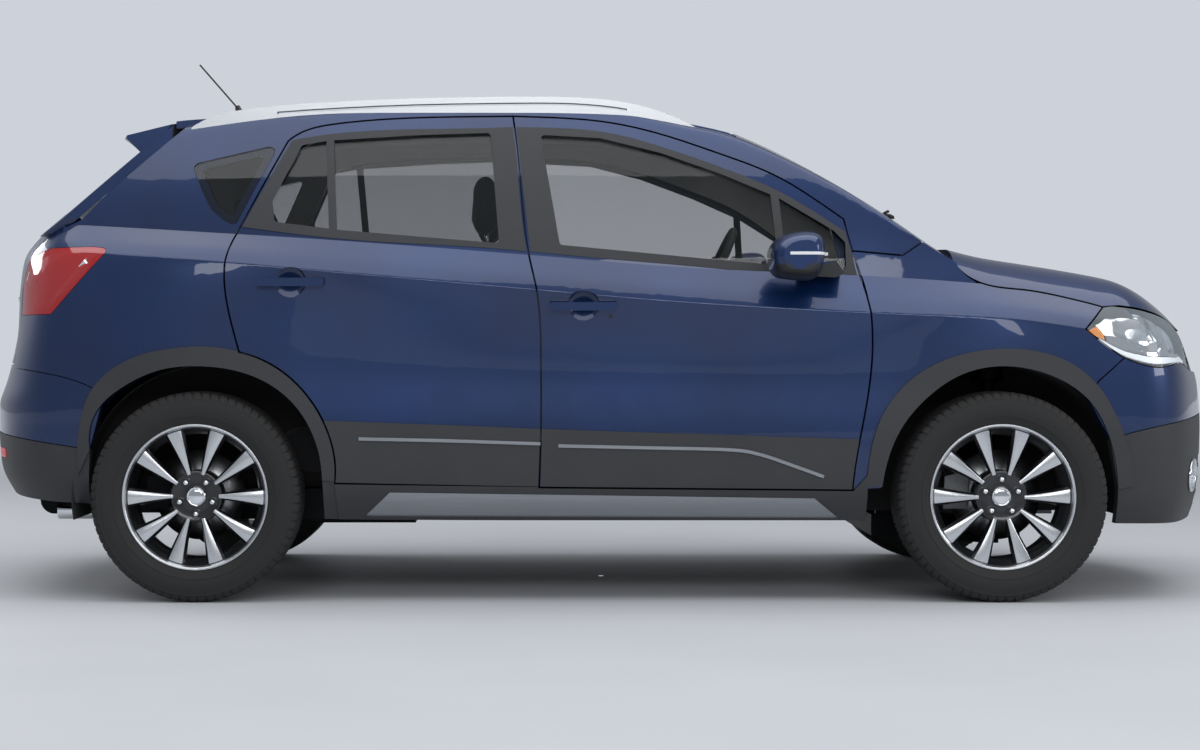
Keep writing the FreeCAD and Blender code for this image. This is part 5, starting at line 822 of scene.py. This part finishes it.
seat_y, front_pitch, rear_pitch = 0.365, 0.055, 0.045
rear_rest_y = (-0.34, 0.0, 0.34)
front_base = [(-190, 470), (-120, 548), (120, 545), (320, 583), (375, 545), (368, 470), (200, 440), (-100, 430)]
front_back = [(-125, 556), (-205, 500), (-243, 570), (-375, 1050), (-392, 1140), (-335, 1155), (-280, 1070),
              (-190, 850), (-122, 650)]
front_rest = [(-412, 1225), (-408, 1320), (-400, 1388), (-352, 1392), (-338, 1310), (-340, 1228), (-375, 1212)]
for obj in (cushion("seat_base_right", front_base, -seat_y, 0.238, (0.15, 1.0), 61, ("front_seats",),
                    0.022, 0.006, 6, run=(1.0, 0, 0.1)),
            cushion("seat_back_right", front_back, -seat_y, 0.232, (0.94, 0.3), 61, (), 0.026, 0.004, 9,
                    run=(-0.3, 0, 1.0)),
            cushion("seat_rest_right", front_rest, -seat_y, 0.115, (1.0, 0.0), 33, (), 0.0, 0.004, cap=0.008)):
    mirrored_copy(obj, obj.name.replace("right", "left"))
rear_base = [(-1075, 470), (-1035, 552), (-850, 556), (-650, 588), (-602, 552), (-610, 440), (-800, 410),
             (-1050, 410)]
rear_back = [(-1095, 500), (-1100, 560), (-1172, 900), (-1222, 1130), (-1182, 1150), (-1128, 1075),
             (-1060, 830), (-1012, 620), (-1030, 565)]
rear_rest = [(-1232, 1170), (-1236, 1250), (-1228, 1318), (-1188, 1322), (-1170, 1250), (-1168, 1176),
             (-1200, 1160)]
cushion("rear_seat_base", rear_base, 0.0, 0.60, (0.1, 1.0), 121, ("rear_seat",), 0.0, 0.010, 5,
        run=(1.0, 0, 0.1))
cushion("rear_seat_back", rear_back, 0.0, 0.50, (0.95, 0.25), 111, (), 0.0, 0.008, 7, run=(-0.25, 0, 1.0))
for k, y in enumerate(rear_rest_y):
    cushion(f"rear_rest_{k + 1}", rear_rest, y, 0.10, (1.0, 0.0), 27, (), 0.0, 0.003, cap=0.006)

# Two steel posts under each head restraint.
posts = [sweep([(-0.398, y + d, 1.12), (-0.404, y + d, 1.25)], ring(0.006))
         for y in (-seat_y, seat_y) for d in (-front_pitch, front_pitch)]
posts += [sweep([(-1.225, y + d, 1.12), (-1.230, y + d, 1.19)], ring(0.005))
          for y in rear_rest_y for d in (-rear_pitch, rear_pitch)]
piece("head_rest_posts", posts, chrome, "body")

# A moulded plinth under each front seat: its side outline (x, z), carried across the seat.
plinth = np.array([(-0.20, 0.30), (0.31, 0.30), (0.35, 0.46), (0.10, 0.462), (-0.20, 0.462)])
parts = []
for y in (-seat_y, seat_y):
    across = np.broadcast_to((y + np.linspace(-0.215, 0.215, 9))[:, None], (9, 5))
    grid = np.stack([np.broadcast_to(plinth[:, 0], (9, 5)), across, np.broadcast_to(plinth[:, 1], (9, 5))], -1)
    ends_of = [list(range(5)), list(range(40, 45))[::-1]]
    parts.append((grid, grid_quads(9, 5, False, True).tolist() + ends_of))
piece("seat_plinths", parts, cabin_board, "body", 35)
print("seats made")

# %% [markdown]
# ## Lamps
# A lamp is a clear or red lens over a housing with its own parts. The CAD lamp is one solid, so its copy is
# sorted: the faces that look outwards are the lens, and the rest is the black housing. The parts inside are
# placed from the lens itself. Rays find where the lens is in a grid of columns and heights, and each part is
# a patch of that grid moved inwards by its own depth, so it follows the lens round the corner of the car.

# %% Patches that follow a CAD surface
def tree_of(*names):
    """One ray tree over the meshes of the named nodes."""
    points, faces = [], []
    for name in names:
        data = nodes[name].data
        faces.extend([[v + len(points) for v in p.vertices] for p in data.polygons])
        points.extend(points_of(data).tolist())
    return BVHTree.FromPolygons(points, faces)


def cast(tree, start, direction):
    """Where a ray first meets the tree, and the normal there; three nans each if it misses."""
    place, normal = tree.ray_cast(Vector(start), Vector(direction))[:2]
    return (np.full(3, np.nan),) * 2 if place is None else (np.array(place), np.array(normal))


def lamp_field(name, turn_deg, out, columns=64, rows=28):
    """Grid of lens points and normals: for each column across the view, rows from the lens's lowest to highest
    point. The view looks at the lens level, turned by the angle from square to the car's side."""
    tree = tree_of(name)
    angle = math.radians(turn_deg)
    look = np.array([-math.sin(angle), -out * math.cos(angle), 0.0])
    side = np.array([math.cos(angle), -out * math.sin(angle), 0.0])
    co = points_of(nodes[name].data)
    co = co[co[:, 1] * out > 0]
    s, z = co @ side, co[:, 2]
    found = []
    for value in np.linspace(s.min() + 0.004, s.max() - 0.004, columns):
        hits = np.array([cast(tree, side * value - look * 3.0 + (0, 0, height), look)
                         for height in np.linspace(z.min() - 0.002, z.max() + 0.002, 110)])
        hits = hits[hits[:, 0, 1] * out > 0]
        if len(hits) >= 4:
            heights = np.linspace(hits[0, 0, 2], hits[-1, 0, 2], rows)
            found.append([[np.interp(heights, hits[:, 0, 2], hits[:, part, k]) for k in range(3)]
                          for part in (0, 1)])
    points, normals = np.array(found).transpose(1, 0, 3, 2)
    return points, normals / np.linalg.norm(normals, axis=-1, keepdims=True)


def patch(field, u0, u1, v0, v1, depth0, depth1, shape=None, columns=40, rows=12):
    """A closed slab inside the lamp over shares of the grid: its front face lies depth0 under the lens, plus
    shape(u, v), and its back face depth1 under it. Points and normals are blended from the four neighbours."""
    points, normals = field
    n_u, n_v = points.shape[:2]
    u = np.linspace(u0, u1, columns)[:, None] * (n_u - 1) + np.zeros((1, rows))
    v = np.linspace(v0, v1, rows)[None] * (n_v - 1) + np.zeros((columns, 1))
    i, j = np.clip(u.astype(int), 0, n_u - 2), np.clip(v.astype(int), 0, n_v - 2)
    fu, fv = (u - i)[..., None], (v - j)[..., None]

    def at(grid):
        """The grid's value between its four neighbours."""
        return (grid[i, j] * (1 - fu) * (1 - fv) + grid[i + 1, j] * fu * (1 - fv)
                + grid[i, j + 1] * (1 - fu) * fv + grid[i + 1, j + 1] * fu * fv)

    lens, facing = at(points), at(normals)
    lift = shape(np.linspace(0, 1, columns)[:, None], np.linspace(0, 1, rows)[None]) if shape else 0 * u
    return sheet(lens - facing * (depth0 + lift)[..., None], lens - facing * depth1)


def glow(name, code, strength):
    """A frosted plastic that shines a little, with fine ribs in its gloss."""
    mat, tree, shader, at = new_material(name, Base_Color=linear(code), Roughness=0.25,
                                         Emission_Color=linear(code), Emission_Strength=strength)
    ribs = node(tree, "TexNoise", {"Vector": at, "Scale": 160.0, "Detail": 1.0})
    pattern(tree, shader, ribs, rough=(0.15, 0.4))
    return mat


light_guide = glow("frosted_light_guide", "#eef3f8", 0.25)
red_guide = glow("red_light_guide", "#c01218", 0.15)
amber_guide = glow("amber_bulb_cover", "#e58a1c", 0.1)


def dish(u, v):
    """Round bowls sunk into a reflector: depth falls as 1 - r^2 inside each of two circles."""
    d = 0.0
    for centre, wide in ((0.30, 0.22), (0.72, 0.22)):
        r = np.sqrt(((u - centre) / wide) ** 2 + ((v - 0.5) / 0.46) ** 2)
        d = d + 0.022 * np.clip(1 - r ** 2, 0, 1)
    return d


def flutes(u, v):
    """Upright ribs of a reflector, as half waves."""
    return 0.0022 * np.abs(np.sin(u * 60.0)) + 0 * v


quarter = np.linspace(0, np.pi / 2, 9)
dome_profile = np.stack([0.030 * np.cos(quarter), 0.016 * np.sin(quarter)], -1).tolist()
projector = dome_profile + [[0.0001, 0.0], [0.030, -0.004]]


def projectors(field):
    """Two domed lenses, each turned to the lens's normal at its place and set 36 mm under it."""
    points, normals = field
    parts = []
    for share in (0.33, 0.70):
        i, j = int(share * (len(points) - 1)), int(0.6 * (points.shape[1] - 1))
        turn = Vector((0, 1, 0)).rotation_difference(Vector(normals[i, j])).to_matrix()
        dome, faces = revolve(projector, 32)
        parts.append((dome @ np.array(turn).T + points[i, j] - normals[i, j] * 0.036, faces))
    return parts


for s, out in hands:
    front = lamp_field("head_lamps", 50.0, out)
    back = lamp_field("tail_lamps", 130.0, out)
    bezel = [patch(front, 0.05, 0.97, 0.19, 0.25, 0.014, 0.030, None, 60, 4),
             patch(front, 0.47, 0.53, 0.24, 0.96, 0.014, 0.036, None, 6, 20)]
    bowls = patch(front, 0.10, 0.93, 0.26, 0.94, 0.026, 0.040, dish, 72, 26)
    guide = patch(front, 0.05, 0.97, 0.06, 0.17, 0.010, 0.022, None, 60, 6)
    marker = patch(front, 0.015, 0.085, 0.28, 0.85, 0.016, 0.030, flutes, 16, 14)
    bright = patch(back, 0.06, 0.94, 0.08, 0.92, 0.020, 0.034, flutes, 80, 24)
    lines = [patch(back, 0.05, 0.95, low, high, 0.008, 0.020, None, 60, 6)
             for low, high in ((0.60, 0.70), (0.84, 0.92))]
    for name, parts, material, crease in (
            ("head_lamp_bowls", [bowls], reflector, 50), ("head_lamp_guide", [guide], light_guide, 50),
            ("head_lamp_bezel", bezel, chrome, 50), ("head_lamp_marker", [marker], amber_guide, 50),
            ("head_lamp_projectors", projectors(front), clear_lens, 40),
            ("tail_lamp_reflector", [bright], reflector, 50), ("tail_lamp_guide", lines, red_guide, 50)):
        piece(f"{name}_{s}", parts, material, "body", crease)


def lens_side(centres, normals):
    """1 for housing: faces that look back into the car, or up or down from the lamp's rim."""
    flat = np.stack([np.sign(centres[:, 0]) * 0.75, np.sign(centres[:, 1]) * 0.66], -1)
    return (normals[:, 0] * flat[:, 0] + normals[:, 1] * flat[:, 1]) < 0.35


sorted_copy("head_lamp_shells", "head_lamps", "body", [clear_lens, lamp_shell], lens_side)
sorted_copy("tail_lamp_shells", "tail_lamps", "body", [red_lens, lamp_shell], lens_side)
print("lamps made")

# %% [markdown]
# ## Side details
# Thin parts that lie on the body are laid there by rays: a path or a patch is given in the side view, and
# each of its points is moved along Y until it meets the panel. The height over the panel is then its own.

# %% Parts laid on the panels
def laid(tree, xz, out, lift):
    """Points of the side view (x, z) set on the panels of one side, lift metres over them. A point whose ray
    misses takes its height from its neighbours."""
    xz = np.asarray(xz, float)
    found = np.array([(x, cast(tree, (x, out * 1.5, z), (0.0, -out, 0.0))[0][1] + out * lift, z)
                      for x, z in xz.reshape(-1, 2)])
    bad = np.isnan(found[:, 1])
    if bad.any() and not bad.all():
        found[bad, 1] = np.interp(np.flatnonzero(bad), np.flatnonzero(~bad), found[~bad, 1])
    return found.reshape(xz.shape[:-1] + (3,))


def oval(centre, wide, high, rings=7, steps=40, power=2.6):
    """Rings of a superellipse |x/a|^p + |z/b|^p = s, from the middle outwards, as (ring, step, 2)."""
    t = np.linspace(0, 2 * np.pi, steps, endpoint=False)
    c, s = np.cos(t), np.sin(t)
    unit = np.stack([np.sign(c) * np.abs(c) ** (2 / power), np.sign(s) * np.abs(s) ** (2 / power)], -1)
    size = np.linspace(0.02, 1.0, rings)[:, None, None]
    return np.array(centre) + unit[None] * size * np.array([wide, high])


def rimmed(grid, rim):
    """Closes rings of points with a last ring, and a face over that."""
    full = np.concatenate([grid, rim])
    count = full.shape[1]
    return full, grid_quads(len(full), count, False, True).tolist() + [list(range(count))]


def button(tree, centre, radius, out, thick):
    """A domed button on the panel: height = thick (1 - r^4), with its rim 2 mm under the panel."""
    on = laid(tree, oval(centre, radius, radius, power=2.0), out, 0.0)
    on[..., 1] += out * thick * (1 - np.linspace(0.02, 1.0, len(on))[:, None] ** 4)
    return rimmed(on, on[-1:] - (0, out * 0.002, 0))


def strip(tree, path_xz, out, wide, thick):
    """A flat strip along a path of the side view: its section is wide by thick, with its top edges drawn in."""
    section = np.array([(-wide / 2, 0), (-wide / 2 * 0.8, thick), (wide / 2 * 0.8, thick), (wide / 2, 0)])
    return sweep(laid(tree, path_xz, out, 0.0), section, up=(0.0, out, 0.0))


indicator = glow("clear_side_repeater", "#dfe3e6", 0.05)
key_cover_xz, repeater_z = (0.008, 0.921), 1.118
for s, out in hands:
    cover = button(tree_of(f"front_door_{s}"), key_cover_xz, 0.006, out, 0.0012)
    piece(f"front_key_cover_{s}", [cover], satin_black, f"front_door_{s}", 45)
    shell = points_of(nodes[f"door_mirror_{s}"].data)[:, 0]
    xs = np.linspace(shell.min() + 0.06, shell.max() - 0.06, 24)
    line = strip(tree_of(f"door_mirror_{s}"), np.stack([xs, np.full(24, repeater_z)], -1), out, 0.010, 0.0025)
    piece(f"mirror_repeater_{s}", [line], indicator, f"front_door_{s}", 45)

# %% [markdown]
# ### Satin inserts on the cladding
# Each door's cladding carries a satin strip along its top, which bends down near the front wheel. The sill
# has a broad satin plate with slanted ends. Both were read off the photograph in pixels: a pixel at the
# body's side is 3.205 mm, so x = -206 + 3.205 (px - 535) and z = 845 + 3.205 (340 - py), in millimetres.

# %% Door strips and sill plates
mm_per_pixel, axis_x_mm, axis_z_mm = 3.205, -206, 845


def from_photo(pixels):
    """Side view points (x, z) in metres for pixels of the photograph."""
    p = np.asarray(pixels, float)
    return np.stack([axis_x_mm + mm_per_pixel * (p[..., 0] - axis_px[0]),
                     axis_z_mm + mm_per_pixel * (axis_px[1] - p[..., 1])], -1) / 1000


satin_insert = drawn("satin_silver_insert", "#85898f", "#a2a6ac", 0.36, (5.0, 700.0, 700.0))
door_strips = {"front": [(549, 446), (640, 448), (720, 450), (752, 455), (790, 468), (815, 477)],
               "rear": [(349, 439), (440, 441), (531, 444)]}
u, v = np.linspace(0, 1, 60)[:, None, None], np.linspace(0, 1, 10)[None, :, None]
sill_low = from_photo([(354, 518)]) * (1 - u) + from_photo([(832, 520)]) * u
sill_high = from_photo([(380, 493)]) * (1 - u) + from_photo([(806, 499)]) * u
for s, out in hands:
    for end in ends:
        tree = tree_of(f"{end}_door_trim_{s}", f"{end}_door_{s}")
        line = strip(tree, smooth_path(from_photo(door_strips[end]), 12), out, 0.013, 0.004)
        piece(f"{end}_door_strip_{s}", [line], satin_insert, f"{end}_door_{s}", 45)
    plate = laid(tree_of("side_trims", f"body_side_{s}"), sill_low * (1 - v) + sill_high * v, out, 0.0)
    plate[..., 1] += out * (0.0015 + 0.0025 * np.sin(np.pi * v[..., 0]) * np.ones_like(u[..., 0]))
    piece(f"sill_plate_{s}", [sheet(plate, plate - (0, out * 0.003, 0), out > 0)], satin_insert, "body", 60)

# %% [markdown]
# ### Wipers
# The wiper arms are swept tubes from their pivots on the cowl, with a flat blade that lies on the screen;
# the rear one lies along the foot of the rear screen.

# %% Wipers
def hits_on(tree, starts, direction, lift):
    """Points where rays from the starts meet the tree, moved back along the ray by lift; no misses."""
    found = np.array([cast(tree, start, direction)[0] for start in starts]) - np.array(direction) * lift
    return found[~np.isnan(found).any(1)]


def blade_section(half):
    """A wiper blade's section: a foot of twice the half width on the glass, and a narrower top."""
    return np.array([(-half, -0.004), (-0.004, 0.006), (0.004, 0.006), (half, -0.004)])


def turned_back(part, place):
    """A piece turned on the Y axis, laid along X towards the rear, at a place on the car's rear."""
    return part[0][:, [1, 0, 2]] * (-1, 1, 1) + place


screen = tree_of("windscreen")
blades, arms = [], []
for y_pivot, y_tip in ((0.50, -0.10), (-0.02, -0.60)):
    starts = np.stack([np.linspace(0.985, 0.955, 20), np.linspace(y_pivot - 0.06, y_tip, 20),
                       np.full(20, 3.0)], -1)
    on = hits_on(screen, starts, (0, 0, -1.0), 0.007)
    blades.append(sweep(on, blade_section(0.006)))
    arm = [on[0] + (0.02, 0.08, -0.004), on[2] + (0.012, 0.02, 0.012), on[len(on) // 2] + (0.006, 0, 0.014)]
    arms.append(sweep(smooth_path(arm, 10), ring(0.006, 0.005)))
piece("screen_wiper_blades", blades, seal_rubber, "body", 45)
piece("screen_wiper_arms", arms, satin_black, "body", 45)

rear_screen = tree_of("tailgate_glass", "tailgate")


def back_on(ys, zs, lift):
    """Points of the rear view (y, z) on the rear screen and the tailgate."""
    return hits_on(rear_screen, np.stack([np.full(len(ys), -3.0), ys, zs], -1), (1.0, 0, 0), lift)


line = back_on(np.linspace(-0.02, 0.34, 22), np.full(22, 1.235), 0.007)
piece("rear_wiper_blade", [sweep(line, blade_section(0.005))], seal_rubber, "tailgate", 45)
arm = back_on(np.linspace(0.0, 0.20, 12), np.linspace(1.185, 1.24, 12), 0.016)
pivot = back_on([0.0], [1.182], 0.0)[0]
knob = revolve([[0.0001, 0.0], [0.020, 0.0], [0.017, 0.018], [0.0001, 0.022]], 24)
knob = (turned_back(knob, pivot + (0.004, 0, 0)), knob[1])
piece("rear_wiper_arm", [sweep(arm, ring(0.007, 0.005)), knob], satin_black, "tailgate", 45)
print("side details made")

# %% [markdown]
# ## Cabin and front end
# The headlining is a soft sheet under the roof panel. On the dashboard sit an instrument hood, a centre
# screen with its controls and four air vents. The fog lamps sit in the lower bumper.

# %% Headlining, dashboard parts and front trim
roof_tree, dash = tree_of("roof_panel"), tree_of("dashboard")
cover = np.array([[(x, y, cast(roof_tree, (x, y, 0.9), (0, 0, 1.0))[0][2] - 0.012)
                   for y in np.linspace(-0.50, 0.50, 30)] for x in np.linspace(-1.30, 0.17, 40)])
cover = cover[~np.isnan(cover[..., 2]).any(1)]
piece("headlining_board", [sheet(cover, cover - (0, 0, 0.006), True)], headlining, "body", 60)


def on_dash(y, z, lift):
    """X of the dashboard's face, lift metres towards the sitter."""
    return cast(dash, (-0.6, y, z), (1.0, 0, 0))[0][0] - lift


def face_plate(y0, y1, z0, z1, lift, thick, dome=0.0, rows=9, columns=15):
    """A plate on the dashboard's face: x = face - lift - dome (1 - u^2)(1 - v^2), thickened forwards."""
    grid = np.array([[(on_dash(y, z, lift), y, z) for y in np.linspace(y0, y1, columns)]
                     for z in np.linspace(z0, z1, rows)])
    u, v = np.linspace(-1, 1, columns)[None], np.linspace(-1, 1, rows)[:, None]
    face = np.where(np.isnan(grid[..., 0]), np.nanmin(grid[..., 0]), grid[..., 0])
    grid[..., 0] = face - dome * (1 - u ** 2) * (1 - v ** 2)
    return sheet(grid, grid + (thick, 0, 0), True)


screen_dark = smooth_plastic("display_glass", "#0a0d12", 0.06, 1.0)
piece("centre_display", [face_plate(-0.11, 0.11, 0.925, 1.005, 0.006, 0.012)], screen_dark, "body", 45)
vents, slats = [], []
for y in (-0.62, -0.17, 0.17, 0.62):
    vents.append(face_plate(y - 0.05, y + 0.05, 0.90, 0.96, 0.004, 0.012, 0.002))
    slats.extend(face_plate(y - 0.042, y + 0.042, z, z + 0.004, 0.011, 0.006, rows=3, columns=9)
                 for z in np.arange(0.908, 0.952, 0.011))
piece("air_vent_frames", vents, satin_black, "body", 45)
piece("air_vent_slats", slats, chrome, "body", 45)
knobs = [face_plate(-0.09 + 0.06 * k, -0.05 + 0.06 * k, 0.845, 0.885, 0.004, 0.02, 0.016) for k in range(4)]
piece("climate_knobs", knobs, satin_black, "body", 45)
wheel_y, face_x = 0.365, on_dash(0.365, 1.0, 0.0)
arch, reach = np.linspace(0, np.pi, 25)[:, None], np.linspace(-0.05, 0.09, 8)[None]
hood = np.stack([face_x + reach + 0 * arch, wheel_y + 0.155 * np.cos(arch) + 0 * reach,
                 1.035 + 0.055 * np.sin(arch) - reach * 0.15], -1)
piece("instrument_hood", [sheet(hood, hood + (0, 0, 0.006), True)], cabin_board, "body", 45)

lower = tree_of("front_bumper_lower")
for s, out in hands:
    rings = oval((out * 0.585, 0.395), 0.058, 0.050, rings=9, steps=48, power=2.0)
    shape = np.array([[(cast(lower, (3.0, y, z), (-1.0, 0, 0))[0][0], y, z) for y, z in line]
                      for line in rings])
    r = np.linspace(0.02, 1.0, 9)[:, None]
    lens = shape.copy()
    lens[..., 0] += 0.006 + 0.008 * (1 - r ** 2)
    rim = shape[-1:] - (0.004, 0, 0)
    piece(f"fog_lamp_lens_{s}", [rimmed(lens, rim)], clear_lens, "body", 45)
    piece(f"fog_lamp_bowl_{s}", [rimmed(shape + (0.001, 0, 0), rim)], reflector, "body", 45)
    hoop = sweep(shape[-1] + (0.005, 0, 0), ring(0.006, 0.006, 10), closed=True, up=(1.0, 0, 0))
    piece(f"fog_lamp_ring_{s}", [hoop], chrome, "body", 60)
print("cabin and front end made")

# %% [markdown]
# ## Rear end
# The rear has a high stop lamp under the spoiler, a blank plate panel in its recess with a chrome strip over
# it, two reflectors low in the bumper and an exhaust tip. Their places aren't seen in the photograph.

# %% Parts on the tailgate and the rear bumper
def rear_plate(tree, y0, y1, z0, z1, lift, thick, dome=0.0, rows=10, columns=30, power=4.0):
    """A plate on the rear: a rounded rectangle |u|^p + |v|^p < 1 laid on the surface, x = surface - lift - dome
    (1 - r^2), with a rim that reaches thick into the surface."""
    rings = oval(((y0 + y1) / 2, (z0 + z1) / 2), (y1 - y0) / 2, (z1 - z0) / 2, rows, columns * 2, power)
    grid = np.array([[(cast(tree, (-3.0, y, z), (1.0, 0, 0))[0][0], y, z) for y, z in line] for line in rings])
    r = np.linspace(0.02, 1.0, rows)[:, None]
    surface = grid[..., 0] - lift - dome * (1 - r ** 2)
    grid[..., 0] = np.where(np.isnan(surface), np.nanmax(surface), surface)
    return rimmed(grid, grid[-1:] + (lift + thick, 0, 0))


gate = tree_of("tailgate")
tail = tree_of("rear_bumper", "rear_bumper_lower")
plate_blank = smooth_plastic("blank_plate_panel", "#c9cbcc", 0.4)
recess = rear_plate(gate, -0.29, 0.29, 0.835, 0.965, 0.001, 0.002, power=9.0)
panel = rear_plate(gate, -0.26, 0.26, 0.845, 0.955, 0.005, 0.003, power=12.0)
bar = rear_plate(gate, -0.31, 0.31, 0.975, 1.000, 0.010, 0.003, 0.006, power=7.0)
piece("plate_recess", [recess], satin_black, "tailgate", 45)
piece("plate_panel", [panel], plate_blank, "tailgate", 45)
piece("plate_strip", [bar], chrome, "tailgate", 45)
# The rear reflectors take the red light guide's finish: the red is their own colour, and the faint glow it
# gives them is a painted glow, as a reflector is no lamp.
for s, out in hands:
    y0, y1 = sorted((out * 0.50, out * 0.62))
    cats_eye = rear_plate(tail, y0, y1, 0.455, 0.485, 0.003, 0.003, 0.002, power=5.0)
    piece(f"rear_reflector_{s}", [cats_eye], red_guide, "body", 45)
stop_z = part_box("tailgate")[1][2] - 0.045
starts = [(-3.0, y, stop_z) for y in np.linspace(-0.16, 0.16, 30)]
stop = sweep(hits_on(gate, starts, (1.0, 0, 0), 0.003),
             np.array([(-0.004, -0.006), (-0.004, 0.006), (0.004, 0.006), (0.004, -0.006)]))
piece("high_stop_lamp", [stop], red_guide, "tailgate", 45)
tip_profile = [[0.027, -0.07], [0.030, -0.07], [0.031, 0.075], [0.029, 0.080], [0.026, 0.076], [0.026, -0.05]]
tip = revolve(tip_profile, 40)
tip = (turned_back(tip, (cad_box[0][0] + 0.33, -0.46, 0.270)), tip[1][:, ::-1])
piece("exhaust_tip", [tip], chrome, "body", 45)
print("rear end made")

# %% [markdown]
# ## Studio
# A plain pale floor fades into a pale distance of the same colour, so no edge or corner shows from any side.
# Large soft lamps above, beside and behind give long clean reflections on the paint. To the camera the air has
# the distance's colour, and to every other ray it is a soft light.

# %% Floor, distance and lamps
distance_tone = "#cdd2da"


def floor_disc():
    """A flat disc of rings, out to 60 m from its middle."""
    reach = np.array([0.01, 2.0, 4.0, 6.0, 9.0, 13.0, 20.0, 60.0])
    turn = np.linspace(0, 2 * np.pi, 72, endpoint=False)[:, None]
    grid = np.stack([reach * np.cos(turn), reach * np.sin(turn), 0 * turn + 0 * reach], -1)
    return grid.reshape(-1, 3), grid_quads(72, len(reach), True, False)


def floor_material():
    """Paint near the car, and the distance's own colour beyond: share = smooth step of the radius."""
    mat, tree, shader, at = new_material("painted_studio_floor", Roughness=0.55)
    tone = node(tree, "TexNoise", {"Vector": at, "Scale": 1.5, "Detail": 4.0})
    roller = node(tree, "TexNoise", {"Vector": at, "Scale": 60.0, "Detail": 3.0})
    pattern(tree, shader, tone, ("#c2c5ca", "#cccfd3"), relief=(roller, 0.04, 0.001))
    radius = node(tree, "VectorMath", {0: at}, "Value", operation="LENGTH")
    share = node(tree, "MapRange", {"Value": radius, "From Min": 5.0, "From Max": 13.0},
                 interpolation_type="SMOOTHSTEP")
    far = node(tree, "Emission", {"Color": linear(distance_tone)})
    both = node(tree, "MixShader", {0: share, 1: shader.outputs["BSDF"], 2: far})
    plug(tree, tree.nodes["Material Output"], {"Surface": both})
    return mat


mesh = bpy.data.meshes.new("studio_floor")
points, faces = floor_disc()
mesh.from_pydata(points.tolist(), [], faces.tolist())
mesh.materials.append(floor_material())
floor = bpy.data.objects.new("studio_floor", mesh)
bpy.context.scene.collection.objects.link(floor)

world = bpy.data.worlds.new("studio_air")
bpy.context.scene.world = world
world.use_nodes = True
air = world.node_tree
light = air.nodes["Background"]
plug(air, light, {"Color": linear("#dfe3ea"), "Strength": 0.42})
seen = node(air, "Background", {"Color": linear(distance_tone), "Strength": 1.0})
camera_ray = node(air, "LightPath", {}, "Is Camera Ray")
both = node(air, "MixShader", {0: camera_ray, 1: light.outputs["Background"], 2: seen})
plug(air, air.nodes["World Output"], {"Surface": both})


def soft_lamp(name, stands_at, aim, size, power):
    """A rectangular soft lamp of the given size in metres and power in watts, turned to its aim."""
    data = bpy.data.lights.new(name, "AREA")
    data.shape = "RECTANGLE"
    data.size, data.size_y = size
    data.energy = power
    lamp = bpy.data.objects.new(name, data)
    lamp.location = stands_at
    lamp.rotation_euler = (Vector(aim) - Vector(stands_at)).to_track_quat("-Z", "Y").to_euler()
    bpy.context.scene.collection.objects.link(lamp)


soft_lamp("overhead_lamp", (0.0, -1.0, 6.4), (0.0, 0.0, 0.0), (11.0, 7.0), 420.0)
soft_lamp("side_lamp", (0.5, -7.5, 3.4), (0.0, 0.0, 0.8), (7.0, 1.6), 150.0)
soft_lamp("front_lamp", (7.0, -3.0, 2.6), (1.0, 0.0, 0.7), (2.4, 2.0), 90.0)
soft_lamp("rear_lamp", (-6.5, 3.0, 3.0), (-1.0, 0.0, 0.8), (3.0, 2.0), 90.0)
bpy.context.scene.view_settings.view_transform = "Standard"
print("studio ready")
